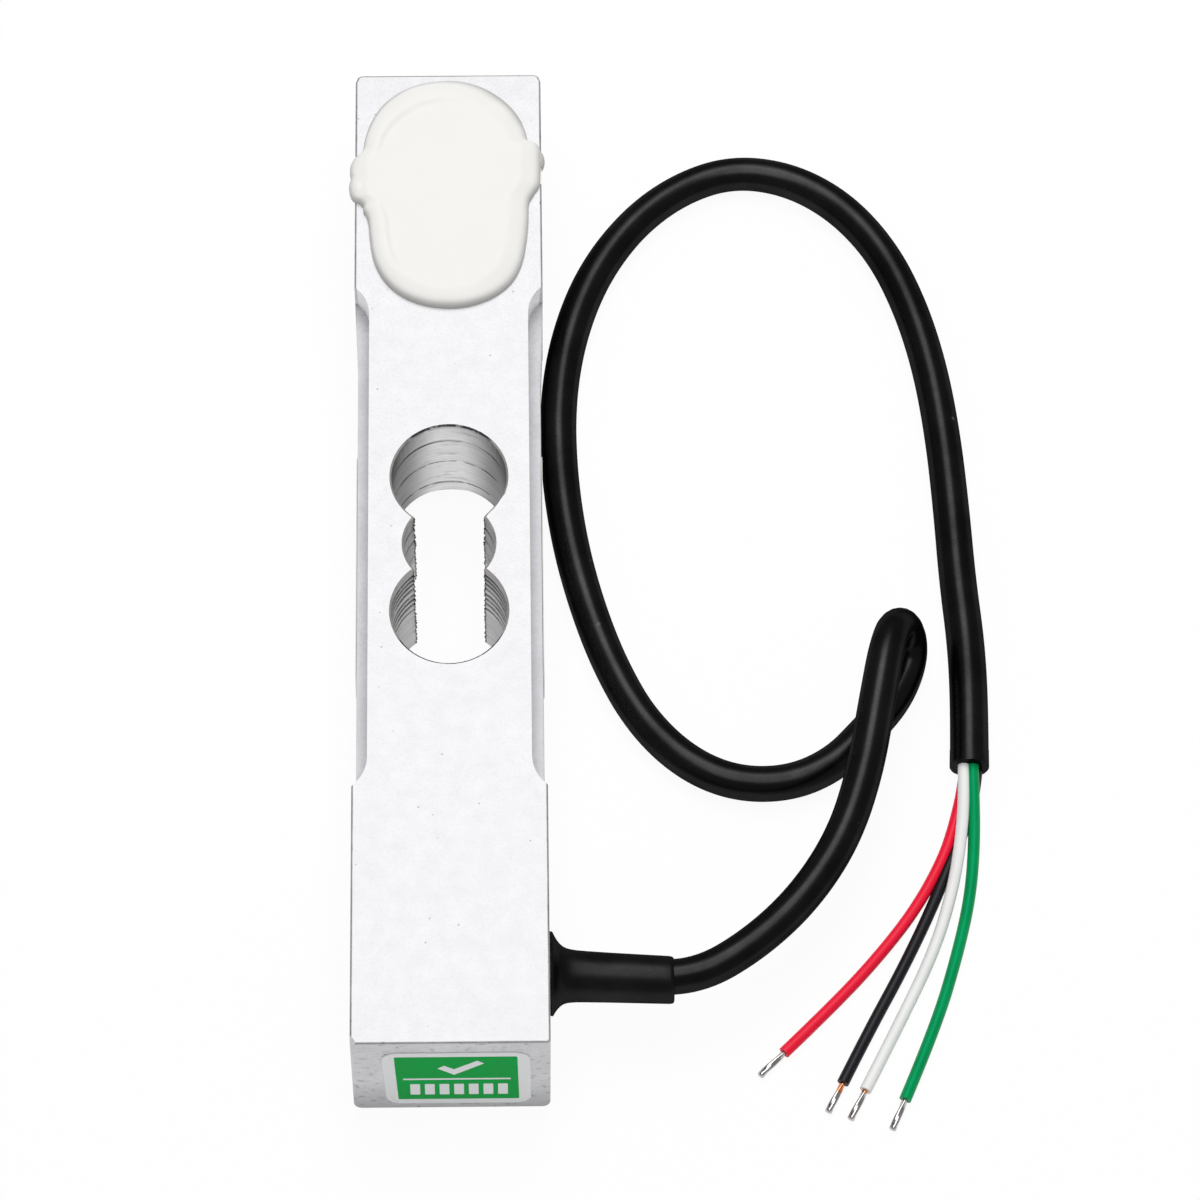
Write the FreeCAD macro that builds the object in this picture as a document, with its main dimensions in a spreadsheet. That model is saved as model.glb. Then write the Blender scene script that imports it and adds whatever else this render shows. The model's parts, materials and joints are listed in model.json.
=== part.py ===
import FreeCAD, Part
import math
import os
import re
import Sketcher
from FreeCAD import Vector

# Single-point bar load cell, lying on its side.
# Millimetres. The bar runs along Y with its cable end towards -Y, its hole axis is Z, and its two
# gauge faces look along +X (right) and -X (left). The origin is the middle of the face it lies on.

# Driving sizes
SIZES = {
    "bar_length": 150.0,
    "bar_width": 26.4,
    "bar_height": 22.0,
    "bottom_round": 1.2,
    "far_corner_round": 1.1,
    "near_corner_round": 0.5,
    "top_break": 0.3,
    "hole_shift": 0.7,
    "big_hole_diameter": 15.9,
    "big_hole_spacing": 20.9,
    "small_hole_diameter": 12.5,
    "far_recess_diameter": 20.0,
    "far_recess_depth": 3.4,
    "relief_near_reach": 37.6,
    "relief_far_reach": 40.1,
    "cutter_radius": 5.5,
    "pad_depth": 0.5,
    "step_depth": 2.1,
    "step_height": 4.6,
    "pad_taper_length": 12.6,
    "pocket_radius": 9.0,
    "pocket_length": 27.0,
    "pocket_end_distance": 6.0,
    "pocket_depth": 5.0,
    "notch_end_distance": 15.8,
    "notch_width": 5.0,
    "notch_depth": 4.0,
    "mount_end_distance": 9.0,
    "mount_spacing": 20.0,
    "mount_tap_diameter": 5.0,
    "mount_hole_depth": 9.0,
    "gland_end_distance": 14.2,
    "gland_height": 11.0,
    "bore_diameter": 8.0,
    "bore_depth": 14.2,
    "passage_diameter": 2.6,
    "passage_mouth_margin": 4.6,
    "passage_overrun": 4.5,
    "bundle_diameter": 1.8,
    "flange_diameter": 11.0,
    "flange_thickness": 0.5,
    "flare_length": 4.6,
    "neck_diameter": 7.4,
    "boot_tip_diameter": 6.6,
    "boot_length": 16.6,
    "boot_tip_round": 0.6,
    "spigot_length": 5.0,
    "spigot_gap": 0.1,
    "cable_diameter": 4.8,
    "wire_diameter": 1.35,
    "core_gap": 0.15,
    "strand_diameter": 0.95,
    "strand_length": 4.6,
    "cap_height": 2.0,
    "cap_edge_round": 1.4,
    "cap_near_radius": 11.1,
    "cap_far_radius": 11.9,
    "cap_centre_spacing": 14.6,
    "cap_end_distance": 1.0,
    "cap_plug_gap": 0.1,
    "ear_radius": 5.9,
    "ear_overhang": 0.6,
    "ear_blend": 1.5,
    "board_gap": 0.4,
    "chip_length": 3.2,
    "chip_width": 1.6,
    "chip_height": 0.55,
    "chip_pitch": 4.6,
    "gauge_length": 7.0,
    "gauge_height": 5.6,
    "foil_thickness": 0.08,
    "lead_width": 1.6,
    "lead_overlap": 1.0,
    "coat_thickness": 0.14,
    "coat_margin": 0.8,
    "label_width": 20.0,
    "label_height": 17.1,
    "label_thickness": 0.12,
    "label_round": 1.3,
    "label_shift": 0.7,
    "label_lift": 1.7,
}

# Places that follow from the driving sizes
PLACES = {
    "half_length": "bar_length / 2",
    "half_width": "bar_width / 2",
    "big_hole_far": "big_hole_spacing / 2 - hole_shift",
    "big_hole_near": "-big_hole_spacing / 2 - hole_shift",
    "pad_face": "half_width - pad_depth",
    "pad_cutter_x": "pad_face + cutter_radius",
    "pad_run_out": "sqrt(cutter_radius^2 - (cutter_radius - pad_depth)^2)",
    "pad_path_near": "pad_run_out - relief_near_reach",
    "pad_path_far": "relief_far_reach - pad_taper_length",
    "step_cutter_x": "half_width - step_depth + cutter_radius",
    "step_run_out": "sqrt(cutter_radius^2 - (cutter_radius - step_depth)^2)",
    "step_path_near": "step_run_out - relief_near_reach",
    "step_path_far": "relief_far_reach - step_run_out",
    "pocket_far_centre": "half_length - pocket_end_distance - pocket_radius",
    "pocket_near_centre": "pocket_far_centre - pocket_length + 2 * pocket_radius",
    "pocket_floor": "bar_height - pocket_depth",
    "notch_place": "half_length - notch_end_distance",
    "notch_near": "notch_place - notch_width / 2",
    "notch_far": "notch_place + notch_width / 2",
    "notch_floor": "bar_height - notch_depth",
    "lead_low": "gland_height + gauge_height / 2",
    "lead_high": "lead_low + lead_width",
    "gland_y": "gland_end_distance - half_length",
    "bore_end": "half_width - bore_depth",
    "mount_outer": "half_length - mount_end_distance",
    "mount_inner": "mount_outer - mount_spacing",
    "passage_start_x": "bore_end + bore_diameter / 4",
    "passage_start_y": "gland_y + bore_diameter / 4",
    "passage_mouth_y": "passage_mouth_margin - relief_near_reach",
    "passage_dx": "pad_face - passage_start_x",
    "passage_dy": "passage_mouth_y - passage_start_y",
    "passage_length": "sqrt(passage_dx^2 + passage_dy^2)",
    "passage_end_x": "pad_face + passage_overrun * passage_dx / passage_length",
    "passage_end_y": "passage_mouth_y + passage_overrun * passage_dy / passage_length",
    "passage_side_x": "passage_diameter / 2 * passage_dy / passage_length",
    "passage_side_y": "passage_diameter / 2 * passage_dx / passage_length",
    "passage_edge_start_x": "passage_start_x - passage_side_x",
    "passage_edge_start_y": "passage_start_y + passage_side_y",
    "passage_edge_end_x": "passage_end_x - passage_side_x",
    "passage_edge_end_y": "passage_end_y + passage_side_y",
    "spigot_radius": "(bore_diameter - spigot_gap) / 2",
    "spigot_end": "half_width - spigot_length",
    "cable_radius": "cable_diameter / 2",
    "wire_radius": "wire_diameter / 2",
    "core_offset": "(wire_diameter + core_gap) / 2",
    "flange_radius": "flange_diameter / 2",
    "flare_end": "flange_thickness + flare_length",
    "neck_radius": "neck_diameter / 2",
    "boot_tip_radius": "boot_tip_diameter / 2",
    "cap_far_centre": "half_length - cap_end_distance - cap_far_radius",
    "cap_near_centre": "cap_far_centre - cap_centre_spacing",
    "ear_diameter": "2 * ear_radius",
    "ear_centre": "half_width + ear_overhang - ear_radius",
    "plug_radius": "pocket_radius - cap_plug_gap",
    "plug_depth": "notch_depth - chip_height - cap_plug_gap",
    "tongue_root": "pocket_radius - lead_overlap",
    "tongue_near": "notch_near + cap_plug_gap",
    "tongue_far": "notch_far - cap_plug_gap",
    "tongue_depth": "notch_depth - foil_thickness",
    "board_radius": "pocket_radius - board_gap",
    "board_thickness": "pocket_depth - notch_depth",
    "board_centre": "(pocket_near_centre + pocket_far_centre) / 2",
    "lead_tip": "board_radius - lead_overlap",
    "coat_radius": "(gauge_height + lead_width) / 2 + coat_margin",
    "coat_height": "gland_height + lead_width / 2",
    "coat_near": "big_hole_near - gauge_length / 2",
    "coat_far": "big_hole_far + gauge_length / 2",
    "coat_seat": "pad_face + foil_thickness",
    "label_left": "label_shift - label_width / 2",
    "label_right": "label_shift + label_width / 2",
    "label_top": "label_lift + label_height",
}

doc = FreeCAD.newDocument("bar_load_cell")
sizes = doc.addObject("Spreadsheet::Sheet", "sizes")
for row, (name, value) in enumerate(SIZES.items(), 1):
    sizes.set(f"A{row}", name)
    sizes.set(f"B{row}", str(value))
    sizes.setAlias(f"B{row}", name)
doc.recompute()


def linked(formula):
    """The formula with each driving size written as a reference to its cell."""
    return re.sub(r"\w+", lambda word: f"sizes.{word[0]}" if word[0] in SIZES else word[0], formula)


places = doc.addObject("Spreadsheet::Sheet", "places")
for row, (name, formula) in enumerate(PLACES.items(), 1):
    places.set(f"A{row}", name)
    places.set(f"B{row}", "=" + linked(formula))
    places.setAlias(f"B{row}", name)
doc.recompute()


def number(name):
    """A size or place by name; a leading minus sign turns it round."""
    if name.startswith("-"):
        return -number(name[1:])
    return float((sizes if name in SIZES else places).get(name))


def reference(name):
    """The expression that reads a size or place by name."""
    if name.startswith("-"):
        return "-" + reference(name[1:])
    return f"sizes.{name}" if name in SIZES else f"places.{name}"


def bind(item, **expressions):
    """Tie properties to expressions; a double underscore in a keyword stands for a dot."""
    for prop, expression in expressions.items():
        item.setExpression(prop.replace("__", "."), expression)


# Sketch tools


def new_body(label):
    body = doc.addObject("PartDesign::Body", label)
    body.Label = label
    return body


def origin_plane(body, role):
    return next(item for item in body.Origin.OriginFeatures if item.Role == role)


def new_sketch(body, name, role, offset=None):
    """A sketch on one of the body's own planes, lifted along its normal by a named distance."""
    sketch = body.newObject("Sketcher::SketchObject", name)
    sketch.AttachmentSupport = [(origin_plane(body, role), "")]
    sketch.MapMode = "FlatFace"
    if offset:
        bind(sketch, AttachmentOffset__Base__z=reference(offset))
    doc.recompute()
    return sketch


def dimension(sketch, kind, where, name):
    """A dimension of the sketch that follows a size or place."""
    index = sketch.addConstraint(Sketcher.Constraint(kind, *where, number(name)))
    sketch.setExpression(f"Constraints[{index}]", reference(name))


def place_point(sketch, item, end, across, along):
    """Fix one point of the sketch; None keeps it on the sketch's axis."""
    if across is None:
        sketch.addConstraint(Sketcher.Constraint("PointOnObject", item, end, -2))
    else:
        dimension(sketch, "DistanceX", (-1, 1, item, end), across)
    if along is None:
        sketch.addConstraint(Sketcher.Constraint("PointOnObject", item, end, -1))
    else:
        dimension(sketch, "DistanceY", (-1, 1, item, end), along)


def point(across, along):
    return Vector(number(across) if across else 0.0, number(along) if along else 0.0, 0.0)


def draw_outline(sketch, corners):
    """A closed outline of straight lines through named corners."""
    first = sketch.GeometryCount
    count = len(corners)
    for k in range(count):
        sketch.addGeometry(Part.LineSegment(point(*corners[k]), point(*corners[(k + 1) % count])))
    for k in range(count):
        sketch.addConstraint(Sketcher.Constraint("Coincident", first + k, 2, first + (k + 1) % count, 1))
    for k, (across, along) in enumerate(corners):
        place_point(sketch, first + k, 1, across, along)


def draw_chain(sketch, corners):
    """Straight lines from corner to corner, left open at the end."""
    for start, end in zip(corners, corners[1:]):
        sketch.addGeometry(Part.LineSegment(point(*start), point(*end)))
    for k in range(1, len(corners) - 1):
        sketch.addConstraint(Sketcher.Constraint("Coincident", k - 1, 2, k, 1))
    for k, (across, along) in enumerate(corners[:-1]):
        place_point(sketch, k, 1, across, along)
    place_point(sketch, len(corners) - 2, 2, *corners[-1])


def draw_rectangle(sketch, left, right, low, high):
    draw_outline(sketch, [(left, low), (right, low), (right, high), (left, high)])


def draw_circle(sketch, across, along, diameter):
    circle = sketch.addGeometry(Part.Circle(point(across, along), Vector(0, 0, 1), number(diameter) / 2))
    place_point(sketch, circle, 3, across, along)
    dimension(sketch, "Diameter", (circle,), diameter)


def draw_slot(sketch, across, low, high, low_radius, high_radius):
    """Two round ends, one above the other, joined by their outer tangents."""
    bottom, top = point(across, low), point(across, high)
    small, large = number(low_radius), number(high_radius)
    lean = math.asin((large - small) / (top - bottom).Length)
    low_circle = Part.Circle(bottom, Vector(0, 0, 1), small)
    high_circle = Part.Circle(top, Vector(0, 0, 1), large)
    low_arc = sketch.addGeometry(Part.ArcOfCircle(low_circle, math.pi + lean, 2 * math.pi - lean))
    high_arc = sketch.addGeometry(Part.ArcOfCircle(high_circle, -lean, math.pi + lean))
    out = Vector(math.cos(lean), -math.sin(lean), 0)
    mirrored = Vector(-out.x, out.y, 0)
    right = sketch.addGeometry(Part.LineSegment(bottom + out * small, top + out * large))
    left = sketch.addGeometry(Part.LineSegment(top + mirrored * large, bottom + mirrored * small))
    for arc, end, line, tip in ((low_arc, 2, right, 1), (right, 2, high_arc, 1),
                                (high_arc, 2, left, 1), (left, 2, low_arc, 1)):
        sketch.addConstraint(Sketcher.Constraint("Tangent", arc, end, line, tip))
    place_point(sketch, low_arc, 3, across, low)
    place_point(sketch, high_arc, 3, across, high)
    dimension(sketch, "Radius", (low_arc,), low_radius)
    dimension(sketch, "Radius", (high_arc,), high_radius)


def add_pad(body, name, sketch, length, reverse=False):
    pad = body.newObject("PartDesign::Pad", name)
    pad.Profile = sketch
    pad.Reversed = reverse
    bind(pad, Length=reference(length))
    doc.recompute()
    return pad


def add_pocket(body, name, sketch, depth=None, reverse=False):
    """A cut to a named depth, or right through when no depth is named."""
    before = body.Shape.Volume
    pocket = body.newObject("PartDesign::Pocket", name)
    pocket.Profile = sketch
    pocket.Reversed = reverse
    if depth:
        bind(pocket, Length=reference(depth))
    else:
        pocket.Type = "ThroughAll"
    doc.recompute()
    if body.Shape.Volume > before - 1e-6:
        raise RuntimeError(f"{name} cuts nothing")
    return pocket


def mirror_features(body, name, features):
    """Repeat features on the other side of the bar's middle plane."""
    mirrored = body.newObject("PartDesign::Mirrored", name)
    mirrored.Originals = features
    mirrored.MirrorPlane = (origin_plane(body, "YZ_Plane"), [""])
    body.Tip = mirrored
    doc.recompute()
    return mirrored


def edges_where(shape, wanted):
    return [f"Edge{k}" for k, edge in enumerate(shape.Edges, 1) if wanted(edge)]


def add_fillet(body, name, base, edges, radius):
    fillet = body.newObject("PartDesign::Fillet", name)
    fillet.Base = (base, edges)
    bind(fillet, Radius=reference(radius))
    doc.recompute()
    return fillet


def runs_along(edge, direction):
    line = edge.Vertexes[-1].Point - edge.Vertexes[0].Point
    return len(edge.Vertexes) == 2 and line.Length > 0 and line.getAngle(direction) % math.pi < 1e-4


def is_level(edge, height):
    return abs(edge.BoundBox.ZMin - height) < 1e-4 and abs(edge.BoundBox.ZMax - height) < 1e-4


# Beam


def make_beam():
    body = new_body("beam_body")
    plan = new_sketch(body, "bar_plan", "XY_Plane")
    draw_rectangle(plan, "-half_width", "half_width", "-half_length", "half_length")
    bar = add_pad(body, "bar", plan, "bar_height")

    def low_long_edge(edge):
        return is_level(edge, 0.0) and runs_along(edge, Vector(0, 1, 0))

    rounded = add_fillet(body, "extruded_corners", bar, edges_where(bar.Shape, low_long_edge), "bottom_round")

    def far_upright(edge):
        return runs_along(edge, Vector(0, 0, 1)) and edge.CenterOfMass.y > 0

    far_end = add_fillet(body, "far_end_corners", rounded, edges_where(rounded.Shape, far_upright),
                         "far_corner_round")

    def near_upright(edge):
        return runs_along(edge, Vector(0, 0, 1)) and abs(edge.CenterOfMass.y + number("half_length")) < 1e-4

    near_end = add_fillet(body, "near_end_corners", far_end, edges_where(far_end.Shape, near_upright),
                          "near_corner_round")

    def top_edge(edge):
        return is_level(edge, number("bar_height"))

    add_fillet(body, "top_edge_break", near_end, edges_where(near_end.Shape, top_edge), "top_break")

    # Triple hole that leaves the four thin flexures
    big_holes = new_sketch(body, "big_hole_plan", "XY_Plane")
    draw_circle(big_holes, None, "big_hole_far", "big_hole_diameter")
    draw_circle(big_holes, None, "big_hole_near", "big_hole_diameter")
    add_pocket(body, "big_holes", big_holes, reverse=True)
    small_hole = new_sketch(body, "small_hole_plan", "XY_Plane")
    draw_circle(small_hole, None, "-hole_shift", "small_hole_diameter")
    add_pocket(body, "small_hole", small_hole, reverse=True)
    recess_plan = new_sketch(body, "far_recess_plan", "XY_Plane")
    draw_circle(recess_plan, None, "big_hole_far", "far_recess_diameter")
    add_pocket(body, "far_recess", recess_plan, "far_recess_depth", reverse=True)

    # Side reliefs, milled along both gauge faces: a shallow pad that runs out in a long taper at its far end,
    # and a deeper step at top and bottom
    pad_path = new_sketch(body, "pad_mill_path", "XY_Plane")
    draw_slot(pad_path, "pad_cutter_x", "pad_path_near", "pad_path_far", "cutter_radius", "cutter_radius")
    pad_relief = add_pocket(body, "gauge_pad_relief", pad_path, reverse=True)
    taper_plan = new_sketch(body, "pad_taper_plan", "XY_Plane")
    draw_outline(taper_plan, [("pad_face", "pad_path_far"), ("pad_cutter_x", "pad_path_far"),
                              ("pad_cutter_x", "relief_far_reach"), ("half_width", "relief_far_reach")])
    pad_taper = add_pocket(body, "gauge_pad_taper", taper_plan, reverse=True)
    low_path = new_sketch(body, "low_step_mill_path", "XY_Plane")
    draw_slot(low_path, "step_cutter_x", "step_path_near", "step_path_far", "cutter_radius", "cutter_radius")
    low_step = add_pocket(body, "low_step", low_path, "step_height", reverse=True)
    top_path = new_sketch(body, "top_step_mill_path", "XY_Plane", "bar_height")
    draw_slot(top_path, "step_cutter_x", "step_path_near", "step_path_far", "cutter_radius", "cutter_radius")
    top_step = add_pocket(body, "top_step", top_path, "step_height")
    mirror_features(body, "left_reliefs", [pad_relief, pad_taper, low_step, top_step])

    # Wiring pocket, its side notches and the lead grooves between the notches and the reliefs
    pocket_plan = new_sketch(body, "pocket_plan", "XY_Plane", "bar_height")
    draw_slot(pocket_plan, None, "pocket_near_centre", "pocket_far_centre", "pocket_radius", "pocket_radius")
    add_pocket(body, "wiring_pocket", pocket_plan, "pocket_depth")
    notch_plan = new_sketch(body, "notch_plan", "XY_Plane", "bar_height")
    draw_rectangle(notch_plan, "-half_width", "half_width", "notch_near", "notch_far")
    add_pocket(body, "side_notches", notch_plan, "notch_depth")
    groove_plan = new_sketch(body, "lead_groove_plan", "YZ_Plane", "half_width")
    draw_outline(groove_plan, [("pad_path_far", "lead_low"), ("notch_far", "lead_low"),
                               ("notch_far", "notch_floor"), ("notch_near", "notch_floor"),
                               ("notch_near", "lead_high"), ("pad_path_far", "lead_high")])
    groove = add_pocket(body, "lead_groove", groove_plan, "pad_depth")
    mirror_features(body, "left_lead_groove", [groove])

    # Cable bore in the right face and the slanting passage from it to the right gauge pad
    bore_plan = new_sketch(body, "bore_plan", "YZ_Plane", "half_width")
    draw_circle(bore_plan, "gland_y", "gland_height", "bore_diameter")
    add_pocket(body, "cable_bore", bore_plan, "bore_depth")
    passage_plan = new_sketch(body, "passage_plan", "XY_Plane", "gland_height")
    axis_ends = [("passage_start_x", "passage_start_y"), ("passage_end_x", "passage_end_y")]
    axis = passage_plan.addGeometry(Part.LineSegment(point(*axis_ends[0]), point(*axis_ends[1])), True)
    place_point(passage_plan, axis, 1, *axis_ends[0])
    place_point(passage_plan, axis, 2, *axis_ends[1])
    draw_outline(passage_plan, axis_ends + [("passage_edge_end_x", "passage_edge_end_y"),
                                            ("passage_edge_start_x", "passage_edge_start_y")])
    solid = body.Shape.Volume
    passage = body.newObject("PartDesign::Groove", "core_passage")
    passage.Profile = passage_plan
    passage.ReferenceAxis = (passage_plan, ["Axis0"])
    passage.Angle = 360.0
    doc.recompute()
    if body.Shape.Volume > solid - 1e-6:
        raise RuntimeError("core_passage cuts nothing")

    # Tapped mounting holes: the base end in the left face, the load end in the right face
    load_plan = new_sketch(body, "load_hole_plan", "YZ_Plane", "half_width")
    base_plan = new_sketch(body, "base_hole_plan", "YZ_Plane", "-half_width")
    for sketch, outer, inner in ((load_plan, "mount_outer", "mount_inner"),
                                 (base_plan, "-mount_outer", "-mount_inner")):
        draw_circle(sketch, outer, "gland_height", "mount_tap_diameter")
        draw_circle(sketch, inner, "gland_height", "mount_tap_diameter")
    add_pocket(body, "load_holes", load_plan, "mount_hole_depth")
    add_pocket(body, "base_holes", base_plan, "mount_hole_depth", reverse=True)
    return body


# Seal and label


def make_cap():
    """White seal: a pear-shaped pad with blended ears, a plug in the pocket and a tongue in each notch."""
    body = new_body("silicone_cap")
    pad_plan = new_sketch(body, "cap_plan", "XY_Plane", "bar_height")
    draw_slot(pad_plan, None, "cap_near_centre", "cap_far_centre", "cap_near_radius", "cap_far_radius")
    add_pad(body, "cap_pad", pad_plan, "cap_height")
    ear_plan = new_sketch(body, "ear_plan", "XY_Plane", "bar_height")
    draw_circle(ear_plan, "ear_centre", "notch_place", "ear_diameter")
    right_ear = add_pad(body, "right_ear", ear_plan, "cap_height")
    ears = mirror_features(body, "left_ear", [right_ear])

    def inner_corner(edge):
        """Upright edges where an ear's round meets the pad, and none of the seams between arcs and tangents."""
        reach = Vector(abs(edge.CenterOfMass.x) - number("ear_centre"), edge.CenterOfMass.y - number("notch_place"))
        return runs_along(edge, Vector(0, 0, 1)) and abs(reach.Length - number("ear_radius")) < 1e-3

    blended = add_fillet(body, "ear_blends", ears, edges_where(ears.Shape, inner_corner), "ear_blend")

    def top_rim(edge):
        return is_level(edge, number("bar_height") + number("cap_height"))

    rolled = add_fillet(body, "rolled_edge", blended, edges_where(blended.Shape, top_rim), "cap_edge_round")
    body.Tip = rolled
    plug_plan = new_sketch(body, "plug_plan", "XY_Plane", "bar_height")
    draw_slot(plug_plan, None, "pocket_near_centre", "pocket_far_centre", "plug_radius", "plug_radius")
    add_pad(body, "pocket_plug", plug_plan, "plug_depth", reverse=True)
    tongue_plan = new_sketch(body, "tongue_plan", "XY_Plane", "bar_height")
    draw_rectangle(tongue_plan, "tongue_root", "half_width", "tongue_near", "tongue_far")
    tongue = add_pad(body, "right_tongue", tongue_plan, "tongue_depth", reverse=True)
    mirror_features(body, "left_tongue", [tongue])
    return body


def make_label():
    """Sticker on the near end face."""
    body = new_body("end_label")
    plan = new_sketch(body, "label_plan", "XZ_Plane", "half_length")
    draw_rectangle(plan, "label_left", "label_right", "label_lift", "label_top")
    pad = add_pad(body, "sheet", plan, "label_thickness")
    corners = edges_where(pad.Shape, lambda edge: runs_along(edge, Vector(0, 1, 0)))
    add_fillet(body, "sheet_corners", pad, corners, "label_round")
    return body


# Cable entry


def make_boot():
    """Strain relief, turned about the cable: spigot, flange, hollow flare and tapered sleeve."""
    body = new_body("strain_relief")
    bind(body, Placement__Base__x="places.half_width", Placement__Base__y="places.gland_y",
         Placement__Base__z="sizes.gland_height")
    profile = new_sketch(body, "boot_profile", "XY_Plane")
    corners = [("flare_end", "neck_radius"), ("boot_length", "boot_tip_radius"), ("boot_length", "cable_radius"),
               ("-spigot_length", "cable_radius"), ("-spigot_length", "spigot_radius"), (None, "spigot_radius"),
               (None, "flange_radius"), ("flange_thickness", "flange_radius")]
    draw_chain(profile, corners)
    last_line = len(corners) - 2
    rim, neck = point(*corners[-1]), point(*corners[0])
    fall, run = rim.y - neck.y, neck.x - rim.x
    flare_radius = (run**2 + fall**2) / (2 * fall)
    centre = neck + Vector(0, flare_radius, 0)
    start = math.atan2(rim.y - centre.y, rim.x - centre.x)
    flare = profile.addGeometry(
        Part.ArcOfCircle(Part.Circle(centre, Vector(0, 0, 1), flare_radius), start, -math.pi / 2))
    profile.addConstraint(Sketcher.Constraint("Coincident", flare, 1, last_line, 2))
    profile.addConstraint(Sketcher.Constraint("Coincident", flare, 2, 0, 1))
    dimension(profile, "DistanceX", (-1, 1, flare, 3), "flare_end")
    doc.recompute()
    turned = body.newObject("PartDesign::Revolution", "boot_turned")
    turned.Profile = profile
    turned.ReferenceAxis = (profile, ["H_Axis"])
    turned.Angle = 360.0
    doc.recompute()

    def outer_tip(edge):
        at_end = abs(edge.BoundBox.XMin - number("boot_length")) < 1e-4
        return at_end and edge.BoundBox.YLength > number("cable_diameter") + 1e-4

    add_fillet(body, "boot_tip", turned, edges_where(turned.Shape, outer_tip), "boot_tip_round")
    return body


def make_potting(bundle):
    """Resin that fills the bore behind the cable, around its cores."""
    plug = doc.addObject("Part::Cylinder", "potting_plug")
    bind(plug, Radius="sizes.bore_diameter / 2", Height="sizes.bore_depth - sizes.spigot_length",
         Placement__Base__x="places.bore_end", Placement__Base__y="places.gland_y",
         Placement__Base__z="sizes.gland_height")
    plug.Placement.Rotation = FreeCAD.Rotation(Vector(0, 0, 1), Vector(1, 0, 0))
    potting = doc.addObject("Part::Cut", "bore_potting")
    potting.Base = plug
    potting.Tool = bundle
    return potting


# Wiring pocket


def make_board():
    body = new_body("terminal_board")
    plan = new_sketch(body, "board_plan", "XY_Plane", "pocket_floor")
    draw_slot(plan, None, "pocket_near_centre", "pocket_far_centre", "board_radius", "board_radius")
    add_pad(body, "board", plan, "board_thickness")
    return body


def make_chip(label, step):
    """A resistor across the board; step counts pitches from the board's middle."""
    chip = doc.addObject("Part::Box", label)
    bind(chip, Length="sizes.chip_length", Width="sizes.chip_width", Height="sizes.chip_height",
         Placement__Base__x="-sizes.chip_length / 2",
         Placement__Base__y=f"places.board_centre + {step} * sizes.chip_pitch - sizes.chip_width / 2",
         Placement__Base__z="places.notch_floor")
    return chip


# Gauges, their coats and leads; side is 1 on the right face and -1 on the left


def seat(side, place, thickness):
    """Low X of a layer of a given thickness that lies on a place of the right or left face."""
    return place if side > 0 else f"-({place}) - {thickness}"


def make_layer(label, side, y_low, y_high, z_low, z_high):
    """A foil rectangle on a gauge pad."""
    layer = doc.addObject("Part::Box", label)
    bind(layer, Length="sizes.foil_thickness", Width=f"{y_high} - ({y_low})", Height=f"{z_high} - ({z_low})",
         Placement__Base__x=seat(side, "places.pad_face", "sizes.foil_thickness"),
         Placement__Base__y=y_low, Placement__Base__z=z_low)
    return layer


def make_gauge(label, side, hole):
    half = "sizes.gauge_length / 2"
    return make_layer(label, side, f"{hole} - {half}", f"{hole} + {half}",
                      "sizes.gland_height - sizes.gauge_height / 2", "places.lead_low")


def make_leads(label, side):
    """Ribbon along the pad, up the side notch and over its floor to the board."""
    start = "places.passage_mouth_y - sizes.lead_width" if side > 0 else "places.big_hole_near"
    strips = [
        make_layer(f"{label}_run", side, start, "places.tongue_far", "places.lead_low", "places.lead_high"),
        make_layer(f"{label}_riser", side, "places.tongue_near", "places.tongue_far", "places.lead_low",
                   "places.notch_floor + sizes.foil_thickness"),
    ]
    if side > 0:
        strips.append(make_layer(f"{label}_drop", side, "places.passage_mouth_y - sizes.lead_width",
                                 "places.passage_mouth_y + sizes.lead_width",
                                 "sizes.gland_height - sizes.lead_width", "places.lead_high"))
    floor = doc.addObject("Part::Box", f"{label}_floor")
    reach = "places.coat_seat - places.lead_tip"
    bind(floor, Length=reach, Width="places.tongue_far - places.tongue_near", Height="sizes.foil_thickness",
         Placement__Base__x=seat(side, "places.lead_tip", f"({reach})"),
         Placement__Base__y="places.tongue_near", Placement__Base__z="places.notch_floor")
    leads = doc.addObject("Part::MultiFuse", label)
    leads.Shapes = strips + [floor]
    leads.Refine = True
    return leads


def make_coat(label, side):
    """Thin round-ended coat over the two gauges of one face."""
    body = new_body(label)
    plan = new_sketch(body, f"{label}_plan", "YZ_Plane", "coat_seat" if side > 0 else "-coat_seat")
    plan.AttachmentOffset = FreeCAD.Placement(plan.AttachmentOffset.Base, FreeCAD.Rotation(Vector(0, 0, 1), -90))
    draw_slot(plan, "-coat_height", "coat_near", "coat_far", "coat_radius", "coat_radius")
    add_pad(body, f"{label}_sheet", plan, "coat_thickness", reverse=side < 0)
    return body


# Cords, as straight runs joined by tangent arcs


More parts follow.
